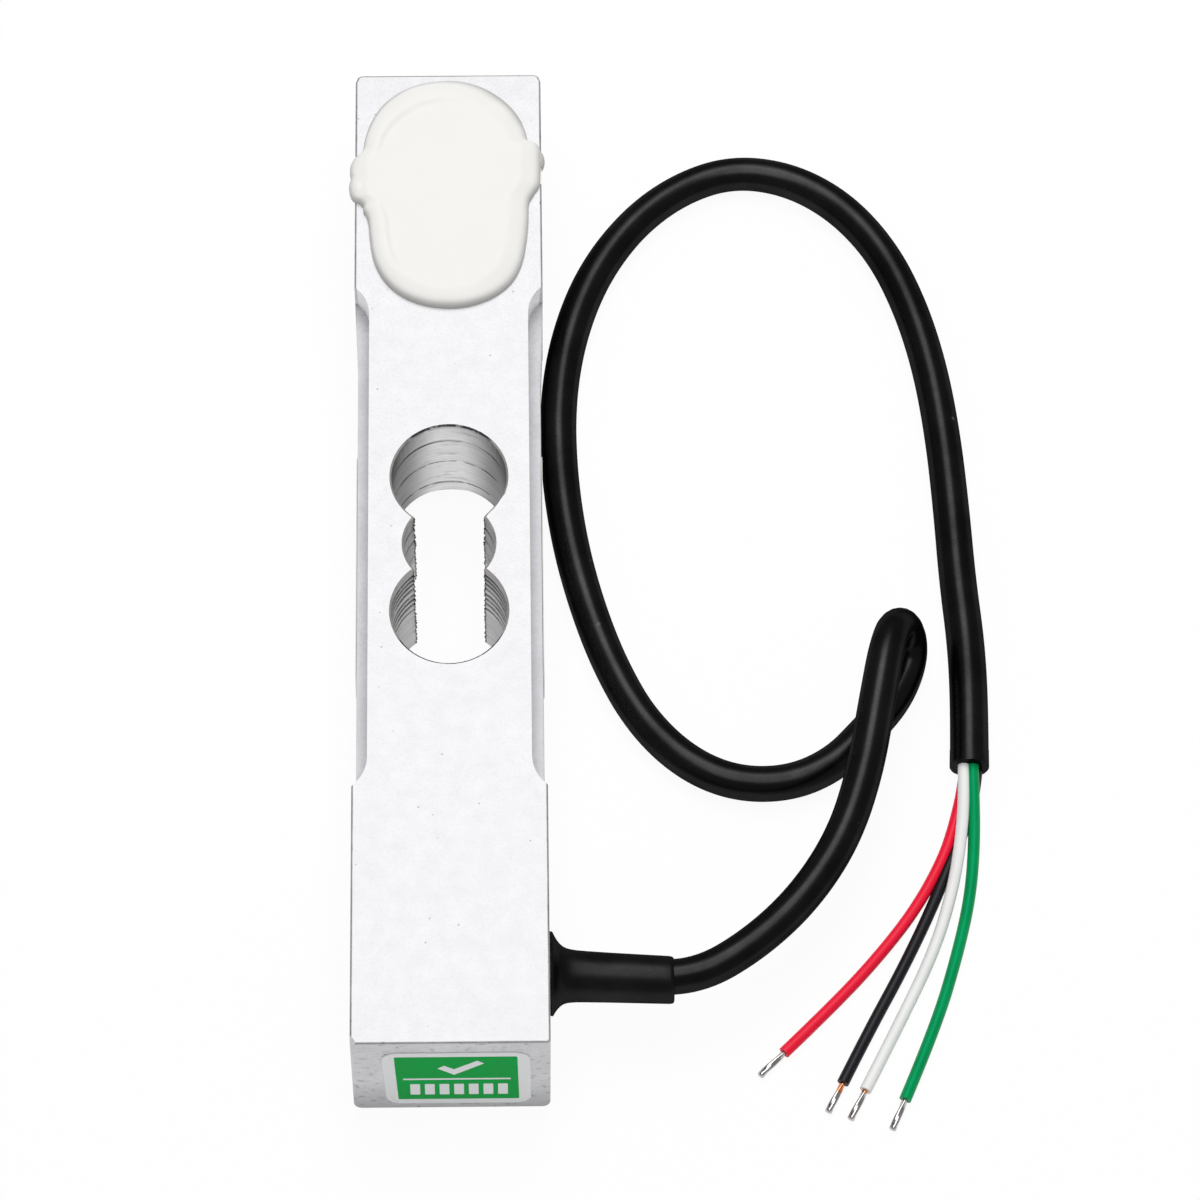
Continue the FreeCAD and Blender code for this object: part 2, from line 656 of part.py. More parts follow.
def tube(label, route, diameter):
    """A round cord along a route; every corner takes the arc that leaves a tenth of its shorter run straight."""
    points = [Vector(*place) for place in route]
    corner_share = 0.45
    edges = []
    radii = []
    here = points[0]
    for before, corner, after in zip(points, points[1:], points[2:]):
        inward, outward = corner - before, after - corner
        trim = corner_share * min(inward.Length, outward.Length)
        turn = inward.getAngle(outward)
        inward.normalize()
        outward.normalize()
        radius = trim / math.tan(turn / 2)
        start, end = corner - inward * trim, corner + outward * trim
        to_middle = (outward - inward).normalize()
        middle = corner + to_middle * (radius / math.cos(turn / 2) - radius)
        edges.append(Part.LineSegment(here, start).toShape())
        edges.append(Part.Arc(start, middle, end).toShape())
        radii.append(radius)
        here = end
    edges.append(Part.LineSegment(here, points[-1]).toShape())
    path = Part.Wire(edges)
    first = points[1] - points[0]
    ring = Part.Wire([Part.Circle(points[0], first, diameter / 2).toShape()])
    shape = path.makePipeShell([ring], True, False)
    expected = math.pi * diameter**2 / 4 * path.Length
    drift = abs(shape.Volume / expected - 1)
    bends = " ".join(f"{radius:.1f}" for radius in radii)
    print(f"{label}: length {path.Length:.1f}, volume off by {drift:.5f}, radii {bends}")
    if drift > 1e-3 or not shape.isValid():
        raise RuntimeError(f"{label} is not a clean tube")
    cord = doc.addObject("Part::Feature", label)
    cord.Shape = shape
    return cord


def cable_route():
    """Out of the bore, over itself, down a tight fold to the floor and round a wide loop to the cut end."""
    top = number("gland_height")
    lie = number("cable_radius")
    return [
        (number("spigot_end"), number("gland_y"), top),
        (number("half_width") + number("boot_length") + 4.4, number("gland_y"), top),
        (41.0, -56.4, top + 0.3),
        (47.8, -49.7, top + 0.7),
        (53.2, -41.2, top + 1.0),
        (56.4, -31.6, top + 1.3),
        (58.5, -21.2, top + 1.4),
        (60.3, -9.8, top + 1.5),
        (62.2, -6.4, lie + 7.1),
        (63.9, -6.8, lie + 2.8),
        (64.4, -10.4, lie),
        (62.4, -16.4, lie),
        (58.3, -22.2, lie),
        (52.8, -26.2, lie),
        (46.2, -28.4, lie),
        (39.0, -28.3, lie),
        (32.2, -24.9, lie),
        (26.3, -18.4, lie),
        (22.1, -9.8, lie),
        (19.0, -0.4, lie),
        (16.7, 9.6, lie),
        (15.4, 20.4, lie),
        (15.2, 31.4, lie),
        (16.8, 42.6, lie),
        (20.2, 53.2, lie),
        (25.7, 61.9, lie),
        (32.6, 67.9, lie),
        (40.7, 70.8, lie),
        (49.0, 69.6, lie),
        (56.4, 64.9, lie),
        (62.3, 57.3, lie),
        (66.1, 48.0, lie),
        (68.6, 37.6, lie),
        (69.9, 26.2, lie),
        (70.6, 14.4, lie),
        (71.1, 3.0, lie),
        (71.8, -7.4, lie),
        (71.7, -17.4, lie),
        (71.7, -26.0, lie),
    ]


def wire_routes(cut):
    """The four cores, fanned from the cut end of the cable down to the floor."""
    wide = number("core_offset")
    lie = number("wire_radius")
    end_x, end_y, middle = cut
    left, right = end_x - wide, end_x + wide
    low, high = middle - wide, middle + wide
    return {
        "red": [(left, end_y, low), (left, -29.0, low), (69.3, -33.4, lie + 0.1), (66.4, -39.6, lie),
                (62.6, -46.2, lie), (57.4, -54.0, lie), (51.6, -61.0, lie), (44.7, -67.8, lie)],
        "black": [(right, end_y, low), (right, -29.0, low), (71.1, -33.6, lie + 0.1), (68.4, -39.6, lie),
                  (65.0, -47.4, lie), (60.9, -56.2, lie), (56.4, -64.8, lie), (52.6, -72.2, lie)],
        "white": [(left, end_y, high), (left, -30.3, high), (70.2, -36.6, lie + 1.7), (68.3, -44.0, lie + 0.6),
                  (65.2, -52.6, lie), (60.6, -63.2, lie), (55.6, -73.5, lie)],
        "green": [(right, end_y, high), (right, -30.0, high), (72.2, -36.8, lie + 0.6), (70.8, -44.8, lie),
                  (68.6, -53.4, lie), (65.4, -64.2, lie), (61.0, -74.9, lie)],
    }


def bundle_route():
    """From the cable's inner end across the bore and out along the slanting passage."""
    level = number("gland_height")
    side = number("bore_diameter") / 4
    return [
        (number("spigot_end"), number("gland_y"), level),
        (number("passage_start_x") + side, number("gland_y"), level),
        (number("passage_start_x"), number("passage_start_y"), level),
        (number("passage_end_x"), number("passage_end_y"), level),
    ]


def make_tip(label, route):
    """Stripped and tinned strands, straight on from the wire's end."""
    tip = doc.addObject("Part::Cylinder", label)
    bind(tip, Radius="sizes.strand_diameter / 2", Height="sizes.strand_length")
    end = Vector(*route[-1])
    tip.Placement = FreeCAD.Placement(end, FreeCAD.Rotation(Vector(0, 0, 1), end - Vector(*route[-2])))
    return tip


def make_bundle():
    """The cores inside the bar, cut off level with the right gauge pad."""
    cores = tube("core_bundle_whole", bundle_route(), number("bundle_diameter"))
    block = doc.addObject("Part::Box", "core_bundle_limit")
    bind(block, Length="places.pad_face - places.bore_end", Width="sizes.bar_length", Height="sizes.bar_height",
         Placement__Base__x="places.bore_end", Placement__Base__y="-places.half_length")
    bundle = doc.addObject("Part::Common", "core_bundle")
    bundle.Base = cores
    bundle.Tool = block
    return bundle


# Assembly

pieces = [make_beam(), make_cap(), make_label(), make_boot(), make_board()]
pieces += [
    make_chip("zero_trim_resistor", -1.5),
    make_chip("zero_drift_resistor", -0.5),
    make_chip("span_trim_resistor_near", 0.5),
    make_chip("span_trim_resistor_far", 1.5),
]
for side, word in ((1, "right"), (-1, "left")):
    pieces.append(make_gauge(f"strain_gauge_{word}_near", side, "places.big_hole_near"))
    pieces.append(make_gauge(f"strain_gauge_{word}_far", side, "places.big_hole_far"))
    pieces.append(make_leads(f"gauge_leads_{word}", side))
    pieces.append(make_coat(f"gauge_coat_{word}", side))

jacket_route = cable_route()
pieces.append(tube("cable_jacket", jacket_route, number("cable_diameter")))
for colour, route in wire_routes(jacket_route[-1]).items():
    pieces.append(tube(f"wire_{colour}", route, number("wire_diameter")))
    pieces.append(make_tip(f"wire_tip_{colour}", route))
core_bundle = make_bundle()
pieces += [core_bundle, make_potting(core_bundle)]
doc.recompute()

for item in doc.Objects:
    if {"Invalid", "Error"} & set(item.State):
        raise RuntimeError(f"{item.Label} did not build: {item.State}")
os.makedirs("parts", exist_ok=True)
for piece in pieces:
    shape = piece.Shape
    if shape.isNull() or not shape.isValid() or len(shape.Solids) != 1:
        raise RuntimeError(f"{piece.Label} is not one sound solid")
    shape.exportStep(f"parts/{piece.Label}.step")
    print(f"{piece.Label}: {shape.Volume:.1f} mm3")
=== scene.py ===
import json
import math

import bmesh
import bpy
from mathutils import Matrix, Vector, noise

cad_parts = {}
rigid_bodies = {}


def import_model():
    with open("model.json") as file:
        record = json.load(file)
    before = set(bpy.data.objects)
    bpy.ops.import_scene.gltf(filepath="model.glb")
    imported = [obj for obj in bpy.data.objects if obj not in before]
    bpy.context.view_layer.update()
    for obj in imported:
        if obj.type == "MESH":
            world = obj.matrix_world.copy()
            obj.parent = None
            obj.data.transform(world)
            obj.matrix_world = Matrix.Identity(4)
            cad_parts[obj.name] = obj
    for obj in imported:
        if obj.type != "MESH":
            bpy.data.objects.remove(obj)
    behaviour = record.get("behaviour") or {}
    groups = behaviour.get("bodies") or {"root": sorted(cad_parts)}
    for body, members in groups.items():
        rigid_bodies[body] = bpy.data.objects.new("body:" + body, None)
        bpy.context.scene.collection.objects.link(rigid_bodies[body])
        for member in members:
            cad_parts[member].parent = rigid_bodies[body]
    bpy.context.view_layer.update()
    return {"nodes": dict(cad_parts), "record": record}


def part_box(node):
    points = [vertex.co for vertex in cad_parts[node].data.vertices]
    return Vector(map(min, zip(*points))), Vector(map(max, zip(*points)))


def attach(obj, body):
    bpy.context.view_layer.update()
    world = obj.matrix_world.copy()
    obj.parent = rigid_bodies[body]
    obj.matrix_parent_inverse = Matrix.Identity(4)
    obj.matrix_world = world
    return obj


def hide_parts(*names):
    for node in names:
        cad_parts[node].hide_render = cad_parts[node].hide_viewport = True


for leftover in list(bpy.data.objects):
    bpy.data.objects.remove(leftover)
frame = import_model()
NODES = frame["nodes"]
MM = 0.001

# Bar, millimetres: it lies along Y, with its cable end at -Y and its bottom face on the floor
BAR_HALF_WIDTH, BAR_HALF_LENGTH, BAR_TOP = (round(v / MM, 2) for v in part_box("beam_body")[1])
# Rounds of the triple hole, far to near: place along Y, radius
HOLE_ROUNDS = ((9.75, 7.95), (-0.7, 6.25), (-11.15, 7.95))

# Routes of the cable and its four cores, millimetres
CABLE_DIAMETER = 4.8
CABLE_ROUTE = (
    (8.2, -60.8, 11.0), (25.0, -61.0, 10.75), (33.2, -61.0, 10.8), (41.0, -56.3, 11.3),
    (47.8, -49.7, 11.7), (53.2, -41.2, 12.0), (56.4, -31.6, 12.3), (58.4, -21.2, 12.4),
    (60.4, -10.7, 12.5), (62.3, -6.9, 9.5), (63.9, -6.8, 5.2), (64.0, -9.8, 2.5),
    (61.7, -15.4, 2.4), (57.6, -20.4, 2.4), (53.0, -25.4, 2.4), (46.6, -28.4, 2.4),
    (39.0, -28.3, 2.4), (32.2, -24.9, 2.4), (26.3, -18.4, 2.4), (22.1, -9.8, 2.4),
    (19.0, -0.4, 2.4), (16.7, 9.6, 2.4), (15.4, 20.4, 2.4), (15.2, 31.4, 2.4),
    (16.8, 42.6, 2.4), (20.4, 53.0, 2.4), (26.0, 61.6, 2.4), (32.8, 67.6, 2.4),
    (40.7, 70.8, 2.4), (49.0, 69.6, 2.4), (56.4, 64.9, 2.4), (62.3, 57.3, 2.4),
    (66.1, 48.0, 2.4), (68.6, 37.6, 2.4), (70.0, 26.2, 2.4), (70.7, 14.4, 2.4),
    (71.1, 3.0, 2.4), (71.9, -7.4, 2.4), (71.9, -17.4, 2.4), (71.5, -26.25, 2.8),
)
# Thickness along the cable against its diameter: number of the route point, factor
CABLE_SWELL = (
    (0, 1.0), (3, 1.01), (5, 1.04), (7, 1.08), (8, 1.03), (9, 1.0), (11, 1.0), (13, 1.05),
    (16, 1.035), (20, 1.05), (23, 1.10), (25, 1.055), (27, 1.0), (28, 1.0), (30, 1.055),
    (33, 1.05), (36, 1.09), (39, 1.13),
)
CORE_DIAMETER = 1.66
CORE_ROUTES = {
    "red": (
        (71.0, -26.0, 1.75), (70.6, -28.8, 1.65), (69.3, -34.0, 1.2), (67.45, -39.4, 0.83),
        (63.3, -47.0, 0.83), (57.8, -54.2, 0.83), (51.7, -61.0, 0.83), (44.8, -67.9, 0.83),
    ),
    "black": (
        (72.6, -26.0, 1.75), (72.25, -29.0, 1.65), (71.05, -33.6, 0.83), (68.5, -39.6, 0.83),
        (65.3, -47.4, 0.83), (61.05, -56.2, 0.83), (56.4, -64.8, 0.83), (52.6, -72.4, 0.83),
    ),
    "white": (
        (70.7, -26.0, 3.35), (70.6, -30.3, 3.3), (70.0, -36.6, 2.5), (68.6, -44.0, 1.5),
        (65.9, -52.6, 0.83), (60.85, -63.2, 0.83), (55.6, -73.5, 0.83),
    ),
    "green": (
        (71.95, -26.0, 3.35), (71.9, -30.0, 3.3), (71.85, -36.8, 1.5), (71.0, -44.8, 0.83),
        (68.9, -53.4, 0.83), (65.5, -64.2, 0.83), (60.9, -74.9, 0.83),
    ),
}


def millimetres(point):
    return Vector(point) * MM


def new_object(name, data):
    obj = bpy.data.objects.new(name, data)
    bpy.context.scene.collection.objects.link(obj)
    return obj


# Camera: above the cable end, looking along the bar
CAMERA_AT = (9.01, -383.40, 734.25)
CAMERA_RIGHT = (0.999865, -0.013748, 0.009000)
CAMERA_DOWN = (-0.007992, -0.885458, -0.464650)
CAMERA_FORWARD = (0.014358, 0.464515, -0.885449)
CAMERA_LENS = 176.99
CAMERA_SENSOR = 36.0
CAMERA_NEAREST = 10.0


def add_camera():
    data = bpy.data.cameras.new("camera")
    data.lens = CAMERA_LENS
    data.sensor_width = CAMERA_SENSOR
    data.sensor_fit = "HORIZONTAL"
    data.clip_start = CAMERA_NEAREST * MM
    camera = new_object("camera", data)
    axes = Matrix((CAMERA_RIGHT, [-v for v in CAMERA_DOWN], [-v for v in CAMERA_FORWARD])).transposed()
    camera.matrix_world = Matrix.Translation(millimetres(CAMERA_AT)) @ axes.to_4x4()
    bpy.context.scene.camera = camera


add_camera()


# Materials
# Numbers of the Mix node's colour sockets, whose names other sockets of that node share
MIX_SHARE, MIX_A, MIX_B, MIX_RESULT = 0, 6, 7, 2
LEVEL_WAVES = 260.0
BESIDE_WAVES = 700.0


class Shader:
    """A procedural material on one principled surface. Textures have so many waves or cells per metre."""

    def __init__(self, name, **sockets):
        self.material = bpy.data.materials.new(name)
        self.material.use_nodes = True
        self.nodes = self.material.node_tree.nodes
        self.links = self.material.node_tree.links
        self.surface = self.nodes["Principled BSDF"]
        self.place = self.nodes.new("ShaderNodeTexCoord").outputs["Object"]
        for socket, value in sockets.items():
            self.set(socket.replace("_", " "), value)

    def feed(self, socket, value):
        if isinstance(value, bpy.types.NodeSocket):
            self.links.new(value, socket)
        else:
            socket.default_value = value

    def set(self, socket, value):
        self.feed(self.surface.inputs[socket], value)

    def show(self, shader):
        """Puts a shader in the principled one's place."""
        self.links.new(shader, self.nodes["Material Output"].inputs["Surface"])

    def add(self, kind, output, inputs, **settings):
        """A new node, with its inputs given by name or number; returns one of its outputs."""
        node = self.nodes.new("ShaderNode" + kind)
        for setting, value in settings.items():
            setattr(node, setting, value)
        for socket, value in inputs.items():
            self.feed(node.inputs[socket], value)
        return node.outputs[output]

    def along(self, axis):
        return self.add("SeparateXYZ", axis, {"Vector": self.place})

    def calculate(self, operation, *values):
        return self.add("Math", 0, dict(enumerate(values)), operation=operation)

    def noise(self, per_metre, detail=3.0, roughness=0.5):
        sockets = {"Vector": self.place, "Scale": per_metre, "Detail": detail, "Roughness": roughness}
        return self.add("TexNoise", "Fac", sockets)

    def streaks(self, per_metre, detail, roughness):
        """Noise with its own number of waves along each axis."""
        where = self.add("Mapping", "Vector", {"Vector": self.place, "Scale": per_metre})
        sockets = {"Vector": where, "Scale": 1.0, "Detail": detail, "Roughness": roughness}
        return self.add("TexNoise", "Fac", sockets)

    def cells(self, per_metre):
        return self.add("TexVoronoi", "Distance", {"Vector": self.place, "Scale": per_metre})

    def ramp(self, value, stops):
        """A tone or colour along a value, from stops of value and tone or colour."""
        node = self.nodes.new("ShaderNodeValToRGB")
        self.links.new(value, node.inputs["Fac"])
        elements = node.color_ramp.elements
        while len(elements) < len(stops):
            elements.new(1.0)
        for element, (position, colour) in zip(elements, stops):
            element.position = position
            element.color = (*colour, 1.0) if isinstance(colour, tuple) else (colour,) * 3 + (1.0,)
        return node.outputs["Color"]

    def mix(self, share, a, b):
        return self.add("Mix", MIX_RESULT, {MIX_SHARE: share, MIX_A: a, MIX_B: b}, data_type="RGBA")

    def multiply(self, product, *factors):
        for factor in factors:
            sockets = {MIX_SHARE: 1.0, MIX_A: product, MIX_B: factor}
            product = self.add("Mix", MIX_RESULT, sockets, data_type="RGBA", blend_type="MULTIPLY")
        return product

    def share(self, distance, near, far, **settings):
        """Rises from 0 to 1 as a distance goes from near to far, millimetres."""
        limits = {"Value": distance, "From Min": near * MM, "From Max": far * MM}
        return self.add("MapRange", "Result", limits, **settings)

    def reach(self, axis, near, far):
        """Rises from 0 to 1 as the distance from the middle plane of an axis goes from near to far."""
        distance = self.calculate("ABSOLUTE", self.along(axis))
        return self.share(distance, near, far, interpolation_type="SMOOTHSTEP")

    def level(self, stops, waver=0.0, low=0.0, high=BAR_TOP):
        """A tone that changes with height, from stops of height in millimetres and tone."""
        uneven = self.noise(LEVEL_WAVES, detail=2.0)
        height = self.calculate("MULTIPLY_ADD", uneven, waver * MM, self.along("Z"))
        return self.ramp(
            self.share(height, low, high), [((z - low) / (high - low), tone) for z, tone in stops]
        )

    def beside(self, x, y, near, far, waver):
        """Rises from 0 to 1 with the distance from an upright line and its mirror image across X."""
        mirrored = self.calculate("ABSOLUTE", self.along("X"))
        flat = self.add("CombineXYZ", 0, {"X": mirrored, "Y": self.along("Y")})
        away = self.add("VectorMath", "Value", {0: flat, 1: millimetres((x, y, 0.0))}, operation="DISTANCE")
        uneven = self.noise(BESIDE_WAVES, detail=2.0)
        return self.share(self.calculate("MULTIPLY_ADD", uneven, waver * MM, away), near, far)

    def bump(self, height, strength, depth):
        """Depth in millimetres."""
        return self.add("Bump", "Normal", {"Height": height, "Strength": strength, "Distance": depth * MM})


def crossing(y1, r1, y2, r2):
    """Where two circles on the centre line cross: the half width and the place along Y."""
    d = y1 - y2
    from_second = (d * d + r2 * r2 - r1 * r1) / (2.0 * d)
    return math.sqrt(max(0.01, r2 * r2 - from_second * from_second)), y2 + from_second


def hole_corners(radii):
    """Where the three rounds cross, by whether it is on the right and whether it is the far crossing."""
    (y_far, _), (y_middle, _), (y_near, _) = HOLE_ROUNDS
    far, middle, near = radii
    far_x, far_y = crossing(y_far, far, y_middle, middle)
    near_x, near_y = crossing(y_middle, middle, y_near, near)
    return {
        (True, False): (near_x, near_y), (True, True): (far_x, far_y),
        (False, True): (-far_x, far_y), (False, False): (-near_x, near_y),
    }


PLAIN_CORNERS = hole_corners([radius for _, radius in HOLE_ROUNDS])
# Tool rings in the wall of each round: height, depth, half width
FAR_RINGS = ((17.8, 0.08, 0.13), (12.05, 0.08, 0.12), (6.1, 0.07, 0.12))
MIDDLE_RINGS = ((18.9, 0.12, 0.22), (15.4, 0.11, 0.20), (11.0, 0.09, 0.20))
NEAR_RINGS = (
    (20.3, 0.12, 0.24), (19.1, 0.16, 0.28), (17.9, 0.15, 0.26), (16.5, 0.18, 0.30),
    (14.8, 0.17, 0.30), (13.5, 0.18, 0.28), (12.1, 0.16, 0.26), (10.6, 0.13, 0.22),
)
ROUND_RINGS = (FAR_RINGS, MIDDLE_RINGS, NEAR_RINGS)
# Painted shade low on the seal's rim, and more of it at the far end: height above the bar, tone
SEAL_RIM_SHADE = ((0.0, 0.55), (0.7, 0.70), (1.1, 0.80), (1.42, 0.97), (1.6, 1.0))
SEAL_FAR_RIM_SHADE = ((0.0, 0.45), (0.9, 0.52), (1.2, 0.62), (1.45, 0.90), (1.6, 1.0))
SEAL_RIM_SHADE_TOP = 2.0
SEAL_RIM_SHADE_WAVER = 0.1
# Distances from a middle plane, millimetres, over which a finish changes
# Sides of each round's wall, where painted shade lies
BORE_SHADED_SIDES = (1.5, 6.5)
# Rim of the triple hole: painted highlight nearer the middle than these, painted shade beyond them at its
# far and near ends
RIM_ENDS = (14.4, 16.2)
# Where the seal rim's painted shade deepens towards the far end
SEAL_FAR_END = (62.0, 69.0)
EDGE_LINE = (BAR_HALF_WIDTH - 0.3, BAR_HALF_WIDTH - 0.08)
# Painted shade in the rings and near the rim, and darkening beside the ridges of the triple hole,
# millimetres
RING_WAVER = 0.22
RIDGE_DARKENING = (0.32, 0.55)
RIDGE_WAVER = 0.34
PAINTED_SHADE_RIM = (1.2, 0.3)
SMOOTH_FADE = 0.2


def blasted_aluminium():
    """Top of the bar: pale and even, with a fine grain and a few specks."""
    s = Shader("bar_top", Metallic=1.0)
    grain = s.noise(2400.0, detail=2.0, roughness=0.6)
    cloud = s.noise(420.0, detail=4.0, roughness=0.6)
    tone = s.ramp(cloud, [(0.28, (0.848, 0.848, 0.862)), (0.72, (0.892, 0.892, 0.904))])
    fine = s.ramp(grain, [(0.28, 0.90), (0.58, 1.0)])
    specks = s.ramp(s.cells(330.0), [(0.022, 0.62), (0.06, 1.0)])
    s.set("Base Color", s.multiply(tone, fine, specks))
    s.set("Roughness", s.ramp(grain, [(0.2, 0.69), (0.8, 0.77)]))
    s.set("Normal", s.bump(grain, strength=0.20, depth=0.04))
    return s.material


def milled_aluminium(name, dark, light, roughness, wear, outer=1.0):
    """Plain cut faces; wear is the tone of their marks, outer that of a thin line along both long edges."""
    s = Shader(name, Metallic=1.0)
    grain = s.noise(1500.0, roughness=0.6)
    cloud = s.noise(180.0, detail=4.0, roughness=0.6)
    tone = s.ramp(cloud, [(0.30, (dark, dark, dark + 0.02)), (0.70, (light, light, light + 0.02))])
    fine = s.ramp(grain, [(0.25, 0.86), (0.6, 1.0)])
    pits = s.ramp(s.cells(300.0), [(0.035, 0.42), (0.075, 1.0)])
    scuffs = s.streaks((520.0, 520.0, 1100.0), detail=4.0, roughness=0.7)
    marks = s.ramp(scuffs, [(0.35, wear), (0.43, 1.0)])
    # painted shade: the cut faces darken towards the floor
    painted_foot_shade = s.level([(0.0, 0.55), (10.0, 1.0)])
    line = s.ramp(s.reach("X", *EDGE_LINE), [(0.0, 1.0), (1.0, outer)])
    s.set("Base Color", s.multiply(tone, fine, pits, marks, painted_foot_shade, line))
    s.set("Roughness", s.ramp(grain, [(0.2, roughness[0]), (0.8, roughness[1])]))
    s.set("Normal", s.bump(grain, strength=0.25, depth=0.04))
    return s.material


def bored_aluminium(name, rings, width, dark, smooth_below, high, low, beside, gap, painted_shade_top):
    """Wall of one round: painted shade lies in its tool rings and near its rim, it is darker beside its
    ridges, and its sides carry painted shade.
    """
    s = Shader(name, Metallic=1.0, Roughness=0.30, Specular_Tint=(0.50, 0.50, 0.50, 1.0))
    brush = s.streaks((60.0, 60.0, 2400.0), detail=3.0, roughness=0.6)
    tone = s.ramp(s.noise(240.0), [(0.30, (0.84, 0.835, 0.845)), (0.70, (0.95, 0.945, 0.95))])
    fine = s.ramp(brush, [(0.30, 0.80), (0.62, 1.0)])
    scores = s.streaks((240.0, 240.0, 1300.0), detail=2.0, roughness=0.7)
    lines = s.ramp(scores, [(0.30, 0.72), (0.42, 1.0)])
    # painted shade: the wall darkens towards its sides, down to the tone beside
    sides = s.ramp(s.reach("X", *BORE_SHADED_SIDES), [(0.0, 1.0), (1.0, beside)])
    plain = [(smooth_below - SMOOTH_FADE, low), (smooth_below, high)]
    # painted shade: each tool ring darkens to the tone dark
    ringed = list(plain)
    for height, _, _ in sorted(rings):
        ringed += [(height - width, high), (height, dark), (height + width, high)]
    # painted shade near the rim, as a share of the wall's tone
    ringed += [(BAR_TOP - PAINTED_SHADE_RIM[0], high), (BAR_TOP - PAINTED_SHADE_RIM[1], high * painted_shade_top)]
    kept = s.ramp(s.noise(420.0, detail=2.0, roughness=0.6), [(gap, 1.0), (gap + 0.06, 0.0)])
    painted_ring_shade = s.mix(kept, s.level(ringed, RING_WAVER), s.level(plain))
    ridges = [
        s.ramp(s.beside(*PLAIN_CORNERS[True, far], *RIDGE_DARKENING, RIDGE_WAVER), [(0.0, 0.22), (1.0, 1.0)])
        for far in (True, False)
    ]
    s.set("Base Color", s.multiply(tone, fine, lines, sides, *ridges, painted_ring_shade))
    s.set("Normal", s.bump(brush, strength=0.30, depth=0.06))
    return s.material


def rim_aluminium():
    """Broken rim of the triple hole: a painted highlight beside, and painted shade broken by tears at its
    far and near ends.
    """
    s = Shader("bar_rim", Metallic=1.0, Roughness=0.58)
    tears = s.noise(900.0, roughness=0.7)
    # painted shade at the far and near ends, broken by tears
    painted_shade_torn = s.ramp(tears, [(0.34, (0.72, 0.69, 0.68)), (0.48, (0.10, 0.10, 0.11))])
    cloud = s.noise(700.0, roughness=0.6)
    # painted highlight beside
    painted_highlight = s.ramp(cloud, [(0.30, (0.66, 0.61, 0.60)), (0.70, (0.86, 0.81, 0.80))])
    s.set("Base Color", s.mix(s.reach("Y", *RIM_ENDS), painted_highlight, painted_shade_torn))
    return s.material


def soft_white():
    """Silicone of the seal, with painted shade low on its rim, deeper at the far end."""
    s = Shader("seal", Specular_IOR_Level=0.25)
    cloud = s.noise(170.0)
    tone = s.ramp(cloud, [(0.30, (0.890, 0.882, 0.856)), (0.70, (0.910, 0.902, 0.878))])
    specks = s.ramp(s.cells(160.0), [(0.012, 0.80), (0.024, 1.0)])
    dust_and_shade, far_rim_shade = (
        s.level(
            [(BAR_TOP + z, shade) for z, shade in stops], SEAL_RIM_SHADE_WAVER, BAR_TOP, BAR_TOP + SEAL_RIM_SHADE_TOP
        )
        for stops in (SEAL_RIM_SHADE, SEAL_FAR_RIM_SHADE)
    )
    # painted shade low on the rim, deeper at the far end
    painted_rim_shade = s.mix(s.reach("Y", *SEAL_FAR_END), dust_and_shade, far_rim_shade)
    s.set("Base Color", s.multiply(tone, specks, painted_rim_shade))
    s.set("Roughness", s.ramp(cloud, [(0.2, 0.38), (0.8, 0.48)]))
    s.set("Normal", s.bump(s.noise(420.0, detail=2.0), strength=0.08, depth=0.08))
    return s.material


def black_rubber(name, shade, roughness, dust_per_metre, shine):
    """Rubber whose gloss stays the same up to its outline."""
    s = Shader(name, Specular_IOR_Level=0.0)
    cloud = s.noise(150.0, detail=4.0, roughness=0.6)
    light = (shade * 1.5, shade * 1.5, shade * 1.6)
    tone = s.ramp(cloud, [(0.30, (shade, shade, shade)), (0.70, light)])
    dust_and_shade = s.ramp(s.cells(dust_per_metre), [(0.02, 0.10), (0.04, 0.0)])
    s.set("Base Color", s.mix(dust_and_shade, tone, (0.55, 0.54, 0.52, 1.0)))
    grain = s.noise(2200.0, roughness=0.6)
    gloss = s.ramp(grain, [(0.25, roughness[0]), (0.75, roughness[1])])
    s.set("Roughness", gloss)
    patchy = s.ramp(s.noise(110.0, roughness=0.6), [(0.32, shine * 0.68), (0.68, shine * 1.30)])
    film = s.add("BsdfAnisotropic", "BSDF", {"Color": patchy, "Roughness": gloss})
    s.show(s.add("AddShader", 0, {0: s.surface.outputs[0], 1: film}))
    return s.material


def insulation(name, dark, light, shine, tint):
    s = Shader(name, Specular_IOR_Level=shine, Specular_Tint=(*tint, 1.0))
    cloud = s.noise(220.0, detail=2.0)
    s.set("Base Color", s.ramp(cloud, [(0.30, dark), (0.70, light)]))
    s.set("Roughness", s.ramp(cloud, [(0.2, 0.44), (0.8, 0.50)]))
    return s.material


def strand_metal(name, dark, light):
    s = Shader(name, Metallic=1.0)
    cloud = s.noise(1400.0, roughness=0.6)
    s.set("Base Color", s.ramp(cloud, [(0.30, dark), (0.70, light)]))
    s.set("Roughness", s.ramp(cloud, [(0.2, 0.16), (0.8, 0.22)]))
    return s.material


def plain_finish(name, dark, light, roughness, per_metre, shine=0.04):
    s = Shader(name, Specular_IOR_Level=shine)
    cloud = s.noise(per_metre, roughness=0.6)
    s.set("Base Color", s.ramp(cloud, [(0.30, dark), (0.70, light)]))
    s.set("Roughness", s.ramp(cloud, [(0.2, roughness[0]), (0.8, roughness[1])]))
    s.set("Normal", s.bump(s.noise(per_metre * 3.0), strength=0.08, depth=0.03))
    return s.material


